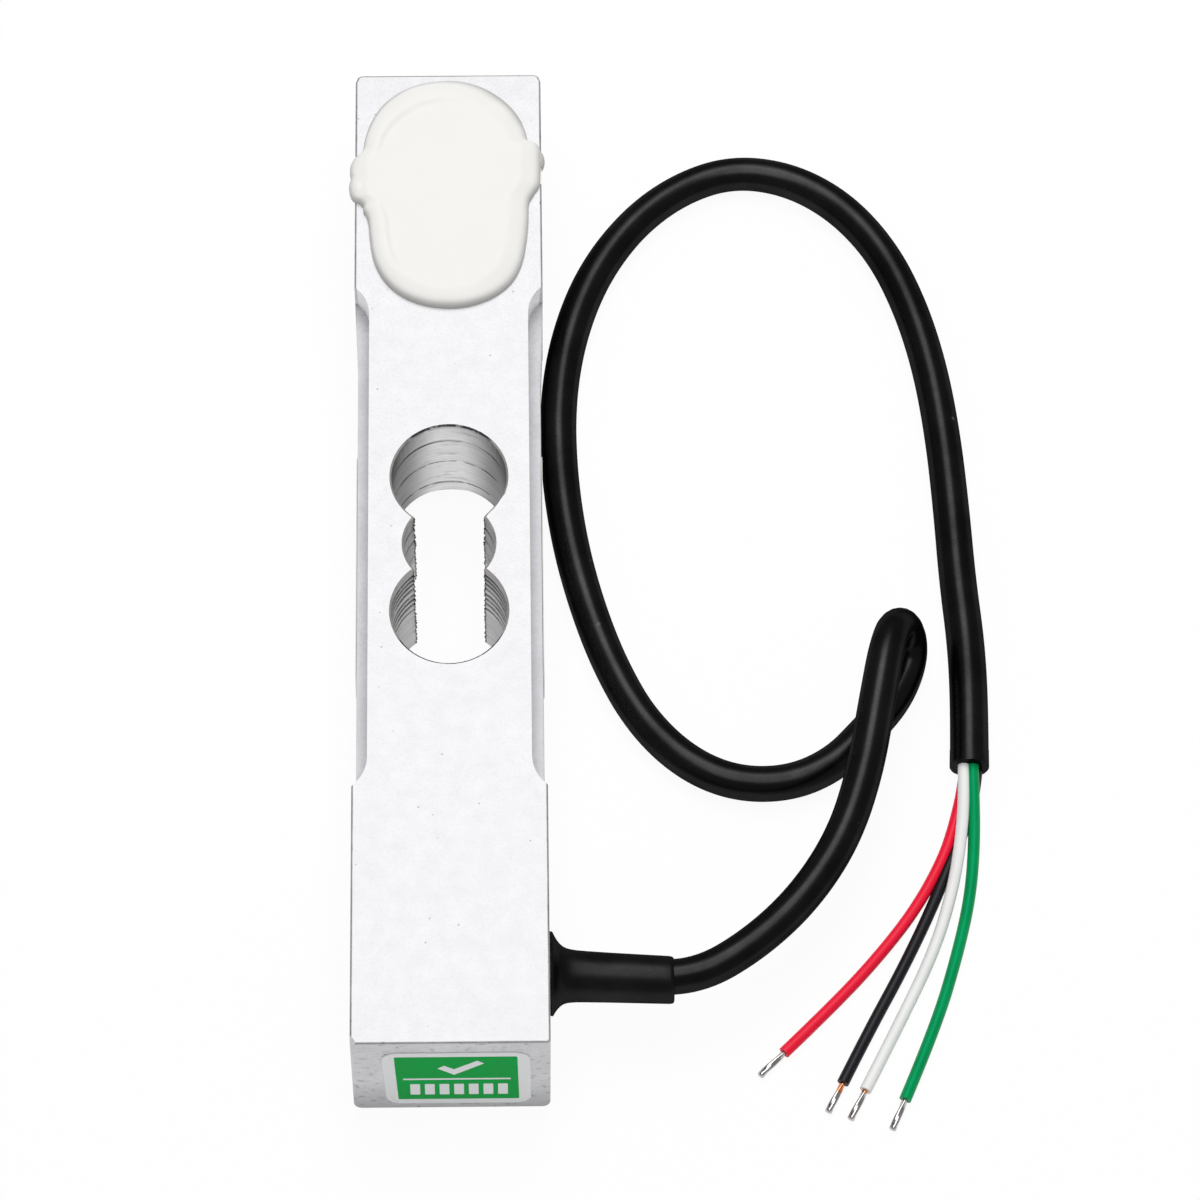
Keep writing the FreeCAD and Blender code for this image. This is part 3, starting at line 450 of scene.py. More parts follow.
BAR_TOP_FINISH = blasted_aluminium()
BAR_SAWN_FINISH = milled_aluminium("bar_sawn", dark=0.56, light=0.63, roughness=(0.42, 0.54), wear=0.56)
BAR_LEDGE_FINISH = milled_aluminium(
    "bar_ledge", dark=0.67, light=0.73, roughness=(0.70, 0.80), wear=0.96, outer=0.84
)
BAR_EDGE_FINISH = milled_aluminium("bar_edge", dark=0.42, light=0.58, roughness=(0.50, 0.60), wear=0.72)
BAR_RIM_FINISH = rim_aluminium()
BAR_BORED_FINISHES = [
    bored_aluminium(
        "bar_bored_far", FAR_RINGS, width=0.17, dark=0.20, smooth_below=2.0, high=0.88, low=0.88,
        beside=0.46, gap=0.42, painted_shade_top=0.72,
    ),
    bored_aluminium(
        "bar_bored_middle", MIDDLE_RINGS, width=0.34, dark=0.36, smooth_below=9.6, high=0.60, low=0.78,
        beside=0.95, gap=0.34, painted_shade_top=1.0,
    ),
    bored_aluminium(
        "bar_bored_near", NEAR_RINGS, width=0.44, dark=0.24, smooth_below=9.8, high=0.80, low=0.70,
        beside=0.95, gap=0.32, painted_shade_top=1.0,
    ),
]
SEAL_FINISH = soft_white()
PLUG_FINISH = plain_finish(
    "seal_plug", (0.84, 0.83, 0.805), (0.88, 0.87, 0.845), (0.38, 0.48), per_metre=170.0, shine=0.25
)
BOOT_FINISH = black_rubber(
    "boot", shade=0.0008, roughness=(0.33, 0.43), dust_per_metre=220.0, shine=0.0175
)
JACKET_FINISH = black_rubber(
    "jacket", shade=0.0004, roughness=(0.25, 0.33), dust_per_metre=110.0, shine=0.0165
)
CORE_FINISHES = {
    "red": insulation("core_red", (0.94, 0.004, 0.032), (0.97, 0.006, 0.044), 0.42, (1.0, 0.70, 0.85)),
    "black": insulation("core_black", (0.002, 0.002, 0.003), (0.004, 0.004, 0.005), 0.34, (0.9, 0.92, 1.0)),
    "white": insulation("core_white", (0.90, 0.90, 0.89), (0.94, 0.94, 0.93), 0.30, (1.0, 1.0, 1.0)),
    "green": insulation("core_green", (0.0005, 0.26, 0.062), (0.001, 0.31, 0.080), 0.60, (0.05, 1.0, 0.75)),
}
TINNED_FINISH = strand_metal("tinned", (0.42, 0.40, 0.395), (0.56, 0.54, 0.53))
COPPER_FINISH = strand_metal("copper", (0.62, 0.24, 0.11), (0.74, 0.32, 0.16))
SHEET_FINISH = plain_finish(
    "label_sheet", (0.94, 0.95, 0.965), (0.965, 0.972, 0.98), (0.45, 0.6), per_metre=240.0, shine=0.5
)
GREEN_FINISH = plain_finish(
    "label_green", (0.001, 0.40, 0.062), (0.002, 0.45, 0.078), (0.45, 0.6), per_metre=300.0
)
# Finishes of the solids that stay as they are, by material slot
SOLID_FINISHES = {
    "gauge_foil": plain_finish("gauge_foil", (0.52, 0.50, 0.46), (0.62, 0.60, 0.55), (0.35, 0.5), 900.0),
    "coat_silicone": plain_finish("coat", (0.78, 0.78, 0.75), (0.86, 0.86, 0.83), (0.35, 0.5), 300.0),
    "lead_ribbon": plain_finish("ribbon", (0.52, 0.50, 0.46), (0.62, 0.60, 0.56), (0.35, 0.5), 700.0),
    "board_laminate": plain_finish("board", (0.01, 0.12, 0.04), (0.015, 0.17, 0.06), (0.4, 0.55), 600.0),
    "chip_ceramic": plain_finish("chip", (0.02, 0.02, 0.022), (0.05, 0.05, 0.052), (0.3, 0.45), 1200.0),
    "bundle_film": plain_finish("bundle", (0.55, 0.55, 0.52), (0.66, 0.66, 0.63), (0.35, 0.5), 500.0),
    "potting_resin": plain_finish("potting", (0.10, 0.07, 0.03), (0.16, 0.11, 0.05), (0.2, 0.35), 400.0),
}


# Pieces and their meshes
def add_piece(name, data, materials, replaced=()):
    piece = new_object(name, data)
    for material in materials:
        data.materials.append(material)
    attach(piece, "root")
    if replaced:
        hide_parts(*replaced)
    return piece


def smooth_faces(data, sharp_from):
    """Shades a mesh smooth, apart from edges that are sharper than an angle in degrees."""
    data.polygons.foreach_set("use_smooth", [True] * len(data.polygons))
    data.set_sharp_from_angle(angle=math.radians(sharp_from))


def add_mesh(name, points, faces, materials, replaced=(), *, sharp_from, face_materials=None):
    data = bpy.data.meshes.new(name)
    data.from_pydata([millimetres(p) for p in points], [], faces)
    piece = add_piece(name, data, materials, replaced)
    if face_materials:
        data.polygons.foreach_set("material_index", face_materials)
    smooth_faces(data, sharp_from)
    data.validate()
    return piece


def closed_faces(rings, count):
    """Faces of a closed form: quads between rings of the same count, and a cap on each end."""
    faces = []
    for r in range(rings - 1):
        a = r * count
        for i in range(count):
            j = (i + 1) % count
            faces.append((a + i, a + j, a + count + j, a + count + i))
    faces.append(tuple(range(count))[::-1])
    faces.append(tuple(range((rings - 1) * count, rings * count)))
    return faces


def append_form(points, faces, form):
    """Adds another form to points and faces."""
    more, sides = form
    first = len(points)
    points += more
    faces += [tuple(first + i for i in side) for side in sides]


def turn(count):
    """Angles of the points of a ring."""
    return [math.tau * i / count for i in range(count)]


def rise(value, start, end):
    """From 0 at start to 1 at end, and no further."""
    return min(1.0, max(0.0, (value - start) / (end - start)))


# Cable and cores
CORD_SIDES = 8
CORD_STEPS = 10


def swell(number, stops):
    """Factor at one route point, in between the points that a factor is given for."""
    for (a, low), (b, high) in zip(stops, stops[1:]):
        if a <= number <= b:
            return low + (high - low) * (number - a) / (b - a)
    return 1.0


def add_cord(name, route, diameter, material, replaced, thickness=()):
    """A cord that nowhere sinks into the floor, however thick it is there."""
    data = bpy.data.curves.new(name, "CURVE")
    data.dimensions = "3D"
    data.bevel_depth = diameter / 2.0 * MM
    data.bevel_resolution = CORD_SIDES
    data.resolution_u = CORD_STEPS
    data.use_fill_caps = True
    spline = data.splines.new("NURBS")
    spline.points.add(len(route) - 1)
    for number, (point, (x, y, z)) in enumerate(zip(spline.points, route)):
        point.radius = swell(number, thickness)
        point.co = (*millimetres((x, y, max(z, diameter / 2.0 * point.radius))), 1.0)
    spline.order_u = 3
    spline.use_endpoint_u = True
    return add_piece(name, data, [material], replaced)


def cord_end(route):
    """Where a route ends, its direction there and two directions square to it."""
    end = Vector(route[-1])
    along = (end - Vector(route[-2])).normalized()
    beside = along.cross(Vector((0.0, 0.0, 1.0))).normalized()
    return end, along, beside, beside.cross(along).normalized() * -1.0


cable = add_cord(
    "cable", CABLE_ROUTE, CABLE_DIAMETER, JACKET_FINISH, ("cable_jacket",), CABLE_SWELL
)
for colour, route in CORE_ROUTES.items():
    add_cord(
        "core_" + colour, route, CORE_DIAMETER, CORE_FINISHES[colour], ("wire_" + colour,)
    )


# Stripped ends: strands twisted together and tinned, rounded off at the tip
TIP_LENGTH = 4.85
TIP_ROOT = 0.3
TIP_RINGS = 34
TIP_SIDES = 30
TIP_STRANDS = 3
TIP_TURNS = 0.40
TIP_RADIUS = 0.42
TIP_GROWTH = 0.13
TIP_LOBE = 0.13
TIP_LOBE_LOSS = 0.4
TIP_ROUND_SHARE = 0.07
TIP_POINT_RADIUS = 0.004
# Share of a stripped end that shows bare copper
BARE_SHARE = {"red": 0.0, "black": 0.34, "white": 0.14, "green": 0.0}


def add_tip(colour):
    start, along, u, v = cord_end(CORE_ROUTES[colour])
    points = []
    for r in range(TIP_RINGS):
        t = r / (TIP_RINGS - 1)
        end = max(0.0, (t - (1.0 - TIP_ROUND_SHARE)) / TIP_ROUND_SHARE)
        size = (TIP_RADIUS + TIP_GROWTH * t) * math.sqrt(max(0.0, 1.0 - end * end))
        lobe = TIP_LOBE * (1.0 - TIP_LOBE_LOSS * t)
        centre = start + along * (TIP_LENGTH * t - TIP_ROOT * (1.0 - t))
        for a in turn(TIP_SIDES):
            twisted = TIP_STRANDS * (a - math.tau * TIP_TURNS * t)
            radius = max(size * (1.0 - lobe + lobe * math.cos(twisted)), TIP_POINT_RADIUS)
            points.append(centre + (u * math.cos(a) + v * math.sin(a)) * radius)
    faces = closed_faces(TIP_RINGS, TIP_SIDES)
    bare_faces = TIP_SIDES * math.ceil(BARE_SHARE[colour] * (TIP_RINGS - 1))
    return add_mesh(
        "tip_" + colour, points, faces, [TINNED_FINISH, COPPER_FINISH],
        ("wire_tip_" + colour,), sharp_from=60.0,
        face_materials=[int(n < bare_faces) for n in range(len(faces))],
    )


tips = {colour: add_tip(colour) for colour in CORE_ROUTES}


# Cut end of the jacket: a wall with the cores coming out of it
# Distance beyond the cable's end, radius
JACKET_END_PROFILE = (
    (-2.6, 2.60), (-2.6, 2.72), (-0.12, 2.74), (0.0, 2.64), (0.02, 2.24), (-0.06, 2.14),
    (-1.2, 2.08), (-1.25, 0.9), (-1.25, 0.02),
)
JACKET_END_SIDES = 48
JACKET_CUT_DEPTH = 0.1
JACKET_CUT_WAVE = 0.05
JACKET_CUT_WAVES = 3.0
JACKET_CUT_TURN = 0.7


def add_jacket_end():
    end, along, u, v = cord_end(CABLE_ROUTE)
    points = []
    for distance, radius in JACKET_END_PROFILE:
        for a in turn(JACKET_END_SIDES):
            wave = JACKET_CUT_WAVE * math.sin(JACKET_CUT_WAVES * a + JACKET_CUT_TURN)
            place = distance + (wave if distance > -JACKET_CUT_DEPTH else 0.0)
            points.append(end + along * place + (u * math.cos(a) + v * math.sin(a)) * radius)
    faces = closed_faces(len(JACKET_END_PROFILE), JACKET_END_SIDES)
    return add_mesh("jacket_end", points, faces, [JACKET_FINISH], sharp_from=45.0)


jacket_end = add_jacket_end()


# Bar: the solid's own faces, with tool rings in the triple hole, a broken rim and a filed corner
UP = (0.0, 0.0, 1.0)
WELD = 0.0002
CUT_TOLERANCE = 0.0001
NEARLY = 0.01
ON_WALL = 0.02
MERGE_ANGLE = 0.2
SHARP_ANGLE = 25.0
# Parts of a face's normal: up on an upright and on a flat face, sideways, and the most on a plain one
UPRIGHT = 0.1
FLAT = 0.999
SIDEWAYS = 0.7
PLAIN = 0.9999
LEVEL_STEP = 0.11
RIM_BREAK = 0.26
FOOT_BREAK = 0.12
EDGE_BREAK = 0.3
RING_DEPTH_SHARE = 0.75
RING_DEPTH_CHANGE = 0.7
RING_PATCHES = 3.0
BURR_ANGLES = (-0.90, -0.44)
BURR_HEIGHT = 0.17
BURR_DEPTH = 1.5
TOOTH_REACH = 0.45
TOOTH_FADE = 1.0
# Ragged ridges: waves per millimetre, how far they stand out, place in the noise
TEETH = ((1.9, 0.16, 0.5), (5.0, 0.12, 3.5))
TEETH_RIGHT = 5.3
TEETH_FAR = 11.7
TOP, SAWN, RIM, LEDGE, EDGE = range(5)
BORED = (5, 6, 7)
BAR_FINISHES = [BAR_TOP_FINISH, BAR_SAWN_FINISH, BAR_RIM_FINISH, BAR_LEDGE_FINISH, BAR_EDGE_FINISH]
BAR_FINISHES += BAR_BORED_FINISHES
END_DEPTH = 0.5
FAR_END_SHIFT = 0.22
NEAR_END_SHIFT = 0.18
RELIEF_INNER = 10.2
RELIEF_OUTER = BAR_HALF_WIDTH - 0.02
RELIEF_REACH = 60.0
RELIEF_FLOOR = 4.2
RECESS_ROOF = 3.4
RECESS_RADIUS = 10.1
RECESS_LIFT = 0.5
FILED_WIDTH = 0.95
FILED_LENGTH = 1.25
FILED_DEPTH = 0.7


def copy_of(node):
    """The faces of a solid, with their corners joined."""
    bm = bmesh.new()
    bm.from_mesh(NODES[node].data)
    bmesh.ops.remove_doubles(bm, verts=bm.verts, dist=WELD * MM)
    bm.normal_update()
    return bm


def mesh_from(bm, name):
    data = bpy.data.meshes.new(name)
    bm.to_mesh(data)
    bm.free()
    if "custom_normal" in data.attributes:
        data.attributes.remove(data.attributes["custom_normal"])
    return data


def cut_off(bm, at, outward):
    """Takes away what lies beyond a plane, and returns the edges of the cut."""
    cut = bmesh.ops.bisect_plane(
        bm, geom=bm.verts[:] + bm.edges[:] + bm.faces[:], dist=CUT_TOLERANCE * MM, plane_co=at,
        plane_no=outward, clear_outer=True,
    )["geom_cut"]
    return [e for e in cut if isinstance(e, bmesh.types.BMEdge)]


def round_radius(k, z, angle=0.0):
    """Radius of one round at a height; its tool rings are deeper in some places than in others."""
    radius = HOLE_ROUNDS[k][1]
    for height, depth, half in ROUND_RINGS[k]:
        place = Vector((RING_PATCHES * math.cos(angle), RING_PATCHES * math.sin(angle), height))
        uneven = RING_DEPTH_SHARE + RING_DEPTH_CHANGE * noise.noise(place)
        radius += depth * uneven * math.exp(-(((z - height) / half) ** 2))
    if k == 0 and z > BAR_TOP - BURR_DEPTH and BURR_ANGLES[0] < angle < BURR_ANGLES[1]:
        radius -= BURR_HEIGHT
    return radius


def tooth(z, right, far):
    """How far the ragged ridge between two rounds stands out at a height."""
    seed = TEETH_RIGHT * right + TEETH_FAR * far
    return sum(depth * noise.noise(Vector((z * waves, seed, at))) for waves, depth, at in TEETH)


def rounds_under(point):
    """The rounds whose wall a point lies on."""
    x, y = point.x / MM, point.y / MM
    return [k for k, (c, r) in enumerate(HOLE_ROUNDS) if abs(math.hypot(x, y - c) - r) < ON_WALL]


def turned(point, found):
    """Where a point of the plain hole wall lies on the turned one."""
    x, y, z = point / MM
    widen = RIM_BREAK if z > BAR_TOP - NEARLY else FOOT_BREAK if z < NEARLY else 0.0
    corners = hole_corners([round_radius(k, z) + widen for k in range(3)])
    if len(found) == 2:
        x, y = corners[x > 0.0, 0 in found]
    else:
        centre = HOLE_ROUNDS[found[0]][0]
        angle = math.atan2(y - centre, x)
        radius = round_radius(found[0], z, angle) + widen
        x, y = radius * math.cos(angle), centre + radius * math.sin(angle)
    jagged = min(1.0, z / TOOTH_FADE, (BAR_TOP - z) / TOOTH_FADE)
    for (right, far), (corner_x, corner_y) in corners.items():
        away = math.hypot(x - corner_x, y - corner_y) / TOOTH_REACH
        x += jagged * tooth(z, right, far) * math.exp(-away * away)
    return millimetres((x, y, z))


def wall_levels():
    """Heights at which the wall of the triple hole is cut, from its foot to its rim."""
    rim = BAR_TOP - RIM_BREAK
    steps = math.floor((rim - FOOT_BREAK) / LEVEL_STEP)
    return [FOOT_BREAK + LEVEL_STEP * n for n in range(steps + 1)] + [rim]


def turn_hole(bm):
    """Cuts the wall of the triple hole into levels and turns each to its own radius."""
    for face in bm.faces:
        face.material_index = SAWN
        shared = [k for k in range(3) if all(k in rounds_under(v.co) for v in face.verts)]
        if abs(face.normal.z) < UPRIGHT and shared:
            face.material_index = BORED[shared[0]]
    bmesh.ops.dissolve_limit(
        bm, angle_limit=math.radians(MERGE_ANGLE), verts=bm.verts, edges=bm.edges, delimit={"MATERIAL"},
        use_dissolve_boundaries=False,
    )
    upper = [f for f in bm.faces if f.material_index in BORED]
    for z in wall_levels():
        corners = {v for f in upper for v in f.verts}
        sides = {e for f in upper for e in f.edges}
        cut = bmesh.ops.bisect_plane(
            bm, geom=upper + list(sides) + list(corners), dist=CUT_TOLERANCE * MM,
            plane_co=(0.0, 0.0, z * MM), plane_no=UP,
        )["geom_cut"]
        reached = {f for e in cut if isinstance(e, bmesh.types.BMEdge) for f in e.link_faces}
        upper = [
            f for f in reached.union(upper)
            if f.material_index in BORED and f.calc_center_median().z > z * MM
        ]
    for face in upper:
        face.material_index = RIM
    for vert in {v for f in bm.faces if f.material_index in (RIM, *BORED) for v in f.verts}:
        vert.co = turned(vert.co, rounds_under(vert.co))


def file_corner(bm):
    """Takes a slanting facet off the near left corner of the top."""
    corner = Vector((-BAR_HALF_WIDTH, -BAR_HALF_LENGTH, BAR_TOP))
    start = corner + Vector((FILED_WIDTH, 0.0, 0.0))
    slope = Vector((-1.0 / FILED_WIDTH, -1.0 / FILED_LENGTH, 1.0 / FILED_DEPTH)).normalized()
    edges = cut_off(bm, millimetres(start), slope)
    for face in bmesh.ops.edgenet_fill(bm, edges=edges)["faces"]:
        face.material_index = TOP


def lift_recess(bm):
    """The recess under the far round is a little deeper than plain."""
    for vert in bm.verts:
        x, y, z = vert.co / MM
        if abs(z - RECESS_ROOF) < NEARLY and math.hypot(x, y - HOLE_ROUNDS[0][0]) < RECESS_RADIUS:
            vert.co.z += RECESS_LIFT * MM


def fit_ends(bm):
    """The two ends reach a little further than plain."""
    for vert in bm.verts:
        y = vert.co.y / MM
        if y > BAR_HALF_LENGTH - END_DEPTH:
            vert.co.y += FAR_END_SHIFT * MM
        elif y < END_DEPTH - BAR_HALF_LENGTH:
            vert.co.y -= NEAR_END_SHIFT * MM


def in_relief(middle):
    """Whether the middle of a wall lies in one of the side reliefs."""
    across = RELIEF_INNER < abs(middle.x) < RELIEF_OUTER
    return across and abs(middle.y) < RELIEF_REACH and middle.z > RELIEF_FLOOR


def dress_bar(bm):
    """Gives each face outside the hole its finish, and shades the round ones smooth."""
    for face in bm.faces:
        middle = face.calc_center_median() / MM
        if face.normal.z > FLAT:
            face.material_index = TOP if middle.z > BAR_TOP - NEARLY else LEDGE
        elif face.material_index == SAWN and middle.z > BAR_TOP - EDGE_BREAK:
            face.material_index = EDGE
        elif face.material_index == SAWN and in_relief(middle):
            face.material_index = TOP if abs(face.normal.x) > SIDEWAYS else EDGE
        face.smooth = max(abs(v) for v in face.normal) < PLAIN


def add_bar():
    bm = copy_of("beam_body")
    lift_recess(bm)
    turn_hole(bm)
    file_corner(bm)
    fit_ends(bm)
    bmesh.ops.triangulate(bm, faces=[f for f in bm.faces if len(f.verts) > 4])
    bmesh.ops.recalc_face_normals(bm, faces=bm.faces)
    bm.normal_update()
    dress_bar(bm)
    data = mesh_from(bm, "bar")
    data.set_sharp_from_angle(angle=math.radians(SHARP_ANGLE))
    add_piece("bar", data, BAR_FINISHES, ("beam_body",))


add_bar()


# Seal: a poured pad with a rolled rim that has run out over both long edges
SEAL_OUTLINE = (
    (0.0, 73.85), (-3.4, 73.45), (-6.4, 72.3), (-9.1, 70.1), (-10.8, 67.4), (-11.75, 64.6),
    (-12.1, 62.4), (-12.6, 61.6), (-13.35, 60.85), (-13.85, 59.75), (-13.95, 58.5), (-13.82, 57.6),
    (-14.05, 56.5), (-13.95, 55.2), (-13.5, 54.2), (-12.5, 53.6), (-12.0, 53.0), (-12.05, 52.3),
    (-11.6, 51.5), (-11.25, 50.2), (-11.05, 47.6), (-10.5, 44.2), (-9.2, 41.2), (-7.0, 38.75),
    (-3.9, 37.1), (-0.3, 36.45), (3.1, 36.8), (6.4, 38.2), (8.9, 40.5), (10.3, 43.4),
    (10.95, 46.7), (11.3, 50.2), (11.4, 53.3), (12.1, 54.9), (12.9, 56.3), (13.05, 58.4),
    (13.1, 60.4), (13.1, 62.0), (12.75, 63.0), (11.95, 63.4), (11.35, 63.75), (11.05, 65.2),
    (10.0, 67.9), (8.0, 70.5), (5.5, 72.4), (2.7, 73.55),
)
SEAL_OUTLINE_STEPS = 5
# Ends of the line along Y that the rim's profile points to
SEAL_SPINE = (47.5, 62.1)
SEAL_SPINE_GAP = 0.3
# Distance from the outline, height where the pad is sunk, height where it is level
SEAL_PROFILE = (
    (0.02, -0.3, -0.3), (0.02, 0.0, 0.0), (0.0, 0.25, 0.25), (0.04, 0.5, 0.5), (0.12, 0.85, 0.80),
    (0.28, 1.17, 1.06), (0.54, 1.45, 1.27), (0.88, 1.66, 1.42), (1.25, 1.80, 1.54), (1.65, 1.88, 1.67),
    (2.05, 1.91, 1.79), (2.35, 1.87, 1.87), (2.6, 1.74, 1.91), (2.8, 1.62, 1.91), (3.1, 1.58, 1.91),
    (3.8, 1.61, 1.90), (4.8, 1.67, 1.88), (6.2, 1.75, 1.86), (8.2, 1.81, 1.84),
)
# Silicone that ran over the edges: middle, radii
SEAL_RUNS = (
    ((-12.8, 59.2, 22.05), (1.15, 1.75, 1.40)),
    ((-12.6, 55.8, 22.1), (1.40, 2.00, 1.68)),
    ((12.75, 60.8, 21.45), (0.95, 1.75, 1.25)),
)
RUN_SIDES = 28
RUN_RINGS = 18
SEAL_GRAIN = 0.18
SEAL_SMOOTHING = 7
SEAL_WAVE = 0.05
SEAL_WAVES = 0.35
SEAL_WAVE_FROM = 0.6
SEAL_WAVE_PLACE = 2.0
# Where the rim slopes more gently, along X and Y, and by how much
GENTLE_RIGHT = (0.0, 10.0)
GENTLE_RIGHT_GAIN = 0.15
GENTLE_FAR = (64.0, 71.0)
GENTLE_FAR_GAIN = 0.5
# Where the pad comes up to its rim, along X and Y
LEVEL_RIGHT = (-3.0, 6.0)
LEVEL_NEAR = (44.0, 38.0)
LEVEL_NEAR_SHARE = 0.8
EAR_PLACE = 57.2
EAR_REACH = 4.4
PLUG_DROP = 0.03


def through(points, steps):
    """A closed smooth line through points in the plane."""
    line = []
    count = len(points)
    for i in range(count):
        a, b, c, d = (Vector(points[(i + k) % count]) for k in (-1, 0, 1, 2))
        for n in range(steps):
            t = n / steps
            line.append(
                0.5 * (2.0 * b + (c - a) * t + (2.0 * a - 5.0 * b + 4.0 * c - d) * t * t
                       + (3.0 * b - a - 3.0 * c + d) * t * t * t)
            )
    return line


def blob(centre, radii):
    points = []
    for r in range(RUN_RINGS):
        polar = math.pi * (r + 0.5) / RUN_RINGS
        for a in turn(RUN_SIDES):
            unit = (math.sin(polar) * math.cos(a), math.sin(polar) * math.sin(a), math.cos(polar))
            points.append(Vector(centre) + Vector([u * k for u, k in zip(unit, radii)]))
    return points, [face[::-1] for face in closed_faces(RUN_RINGS, RUN_SIDES)]


def blended(name, points, faces):
    """One smooth skin over forms that overlap."""
    rough = bpy.data.meshes.new(name)
    rough.from_pydata([millimetres(p) for p in points], [], faces)
    probe = new_object("probe", rough)
    skin = probe.modifiers.new("skin", "REMESH")
    skin.mode = "VOXEL"
    skin.voxel_size = SEAL_GRAIN * MM
    even = probe.modifiers.new("even", "SMOOTH")
    even.factor = 0.5
    even.iterations = SEAL_SMOOTHING
    bpy.context.view_layer.update()
    data = bpy.data.meshes.new_from_object(probe.evaluated_get(bpy.context.evaluated_depsgraph_get()))
    bpy.data.objects.remove(probe)
    bpy.data.meshes.remove(rough)
    data.polygons.foreach_set("use_smooth", [True] * len(data.polygons))
    return data


def rim_width(place):
    """The rolled rim slopes more gently on the right and at the far end."""
    right = GENTLE_RIGHT_GAIN * rise(place.x, *GENTLE_RIGHT)
    far = GENTLE_FAR_GAIN * rise(place.y, *GENTLE_FAR)
    return 1.0 + max(right, far)


def brimful(place, sunk, level):
    """The pad lies below its rim on the left, but not at the near end, in the left ear or on the right."""
    right = rise(place.x, *LEVEL_RIGHT)
    near = LEVEL_NEAR_SHARE * rise(place.y, *LEVEL_NEAR)
    ear = math.exp(-(((place.y - EAR_PLACE) / EAR_REACH) ** 4)) if place.x < 0.0 else 0.0
    return sunk + (level - sunk) * max(right, near, ear)


def add_seal():
    outline = through(SEAL_OUTLINE, SEAL_OUTLINE_STEPS)
    points = []
    for inward, sunk, level in SEAL_PROFILE:
        for p in outline:
            inside = Vector((0.0, min(max(p.y, SEAL_SPINE[0]), SEAL_SPINE[1]))) - p
            q = p + inside.normalized() * min(inward * rim_width(p), inside.length - SEAL_SPINE_GAP)
            wave = noise.noise(Vector((q.x * SEAL_WAVES, q.y * SEAL_WAVES, SEAL_WAVE_PLACE)))
            uneven = SEAL_WAVE * wave if sunk > SEAL_WAVE_FROM else 0.0
            points.append((q.x, q.y, BAR_TOP + brimful(p, sunk, level) + uneven))
    faces = closed_faces(len(SEAL_PROFILE), len(outline))
    for centre, radii in SEAL_RUNS:
        append_form(points, faces, blob(centre, radii))
    add_piece("seal", blended("seal", points, faces), [SEAL_FINISH], ("silicone_cap",))


def add_plug():
    """The seal's foot: what fills the pocket and its side notches below the bar's top."""
    bm = copy_of("silicone_cap")
    edges = cut_off(bm, millimetres((0.0, 0.0, BAR_TOP - PLUG_DROP)), UP)
    bmesh.ops.triangle_fill(bm, edges=edges, use_beauty=True)
    bmesh.ops.recalc_face_normals(bm, faces=bm.faces)
    data = mesh_from(bm, "seal_plug")
    smooth_faces(data, sharp_from=30.0)
    add_piece("seal_plug", data, [PLUG_FINISH])


add_seal()
add_plug()


# Strain relief: a flanged rubber boot that sags a little with the cable
BOOT_START = (13.2, -60.75, 11.0)
BOOT_SIDES = 64
# Fall of its middle: at the bar, per millimetre along, lift of the flange, how soon that lift fades
BOOT_FALL = (0.4, -0.36, 2.0, 1.2)
# Shares of that fall along Y and Z
BOOT_FALL_SHARE = (0.0785, 0.149)
# Distance from the bar, radius
BOOT_PROFILE = (
    (0.0, 1.0), (0.0, 5.54), (0.08, 5.66), (0.36, 5.68), (0.48, 5.58), (0.62, 5.30), (0.80, 4.98),
    (1.03, 4.64), (1.35, 4.26), (1.80, 3.90), (2.30, 3.69), (2.9, 3.58), (3.6, 3.50), (5.0, 3.44),
    (8.0, 3.36), (12.0, 3.29), (15.2, 3.24), (16.1, 3.22), (16.48, 3.15), (16.64, 3.0), (16.70, 2.85),
    (16.66, 2.46), (16.2, 2.44), (15.7, 1.0),
)


def boot_centre(s):
    """Middle of the boot at a distance from the bar: the flange sits high, the sleeve falls away."""
    rest, slope, lift, fade = BOOT_FALL
    fall = rest + slope * s + lift * math.exp(-s / fade)
    return Vector(BOOT_START) + Vector((s, fall * BOOT_FALL_SHARE[0], fall * BOOT_FALL_SHARE[1]))


def add_boot():
    points = []
    for s, radius in BOOT_PROFILE:
        for a in turn(BOOT_SIDES):
            points.append(boot_centre(s) + Vector((0.0, math.cos(a), math.sin(a))) * radius)
    faces = closed_faces(len(BOOT_PROFILE), BOOT_SIDES)
    add_mesh("boot", points, faces, [BOOT_FINISH], ("strain_relief",), sharp_from=50.0)


add_boot()


# Sticker on the cable end: a pale sheet with a green field, a rule, a tick and plain blocks
# Left, right, bottom, top, corner radius
SHEET = (-9.2, 10.5, 2.1, 18.8, 2.2)
FIELD = (-7.5, 8.8, 3.6, 17.65, 0.25)
RULE = (-6.4, 7.9, 10.15, 10.6, 0.1)
TICK = ((-1.8, 13.9), (-0.9, 14.8), (0.4, 13.6), (3.5, 16.4), (4.4, 15.5), (0.4, 11.8))
FIRST_BLOCK = (-5.5, -4.2, 5.2, 8.7, 0.12)
BLOCK_COUNT = 7
BLOCK_PITCH = 1.95
SHEET_CORNER_STEPS = 8
MARK_CORNER_STEPS = 2
# How far the left and right edges move towards the right, against the way down
SHEET_LEAN = (0.031, 0.007)
FIELD_LEAN = (0.026, 0.015)
# Heights above the end face between which each layer lies
SHEET_LAYER = (0.0, 0.12)
FIELD_LAYER = (0.10, 0.14)
MARKS_LAYER = (0.12, 0.16)


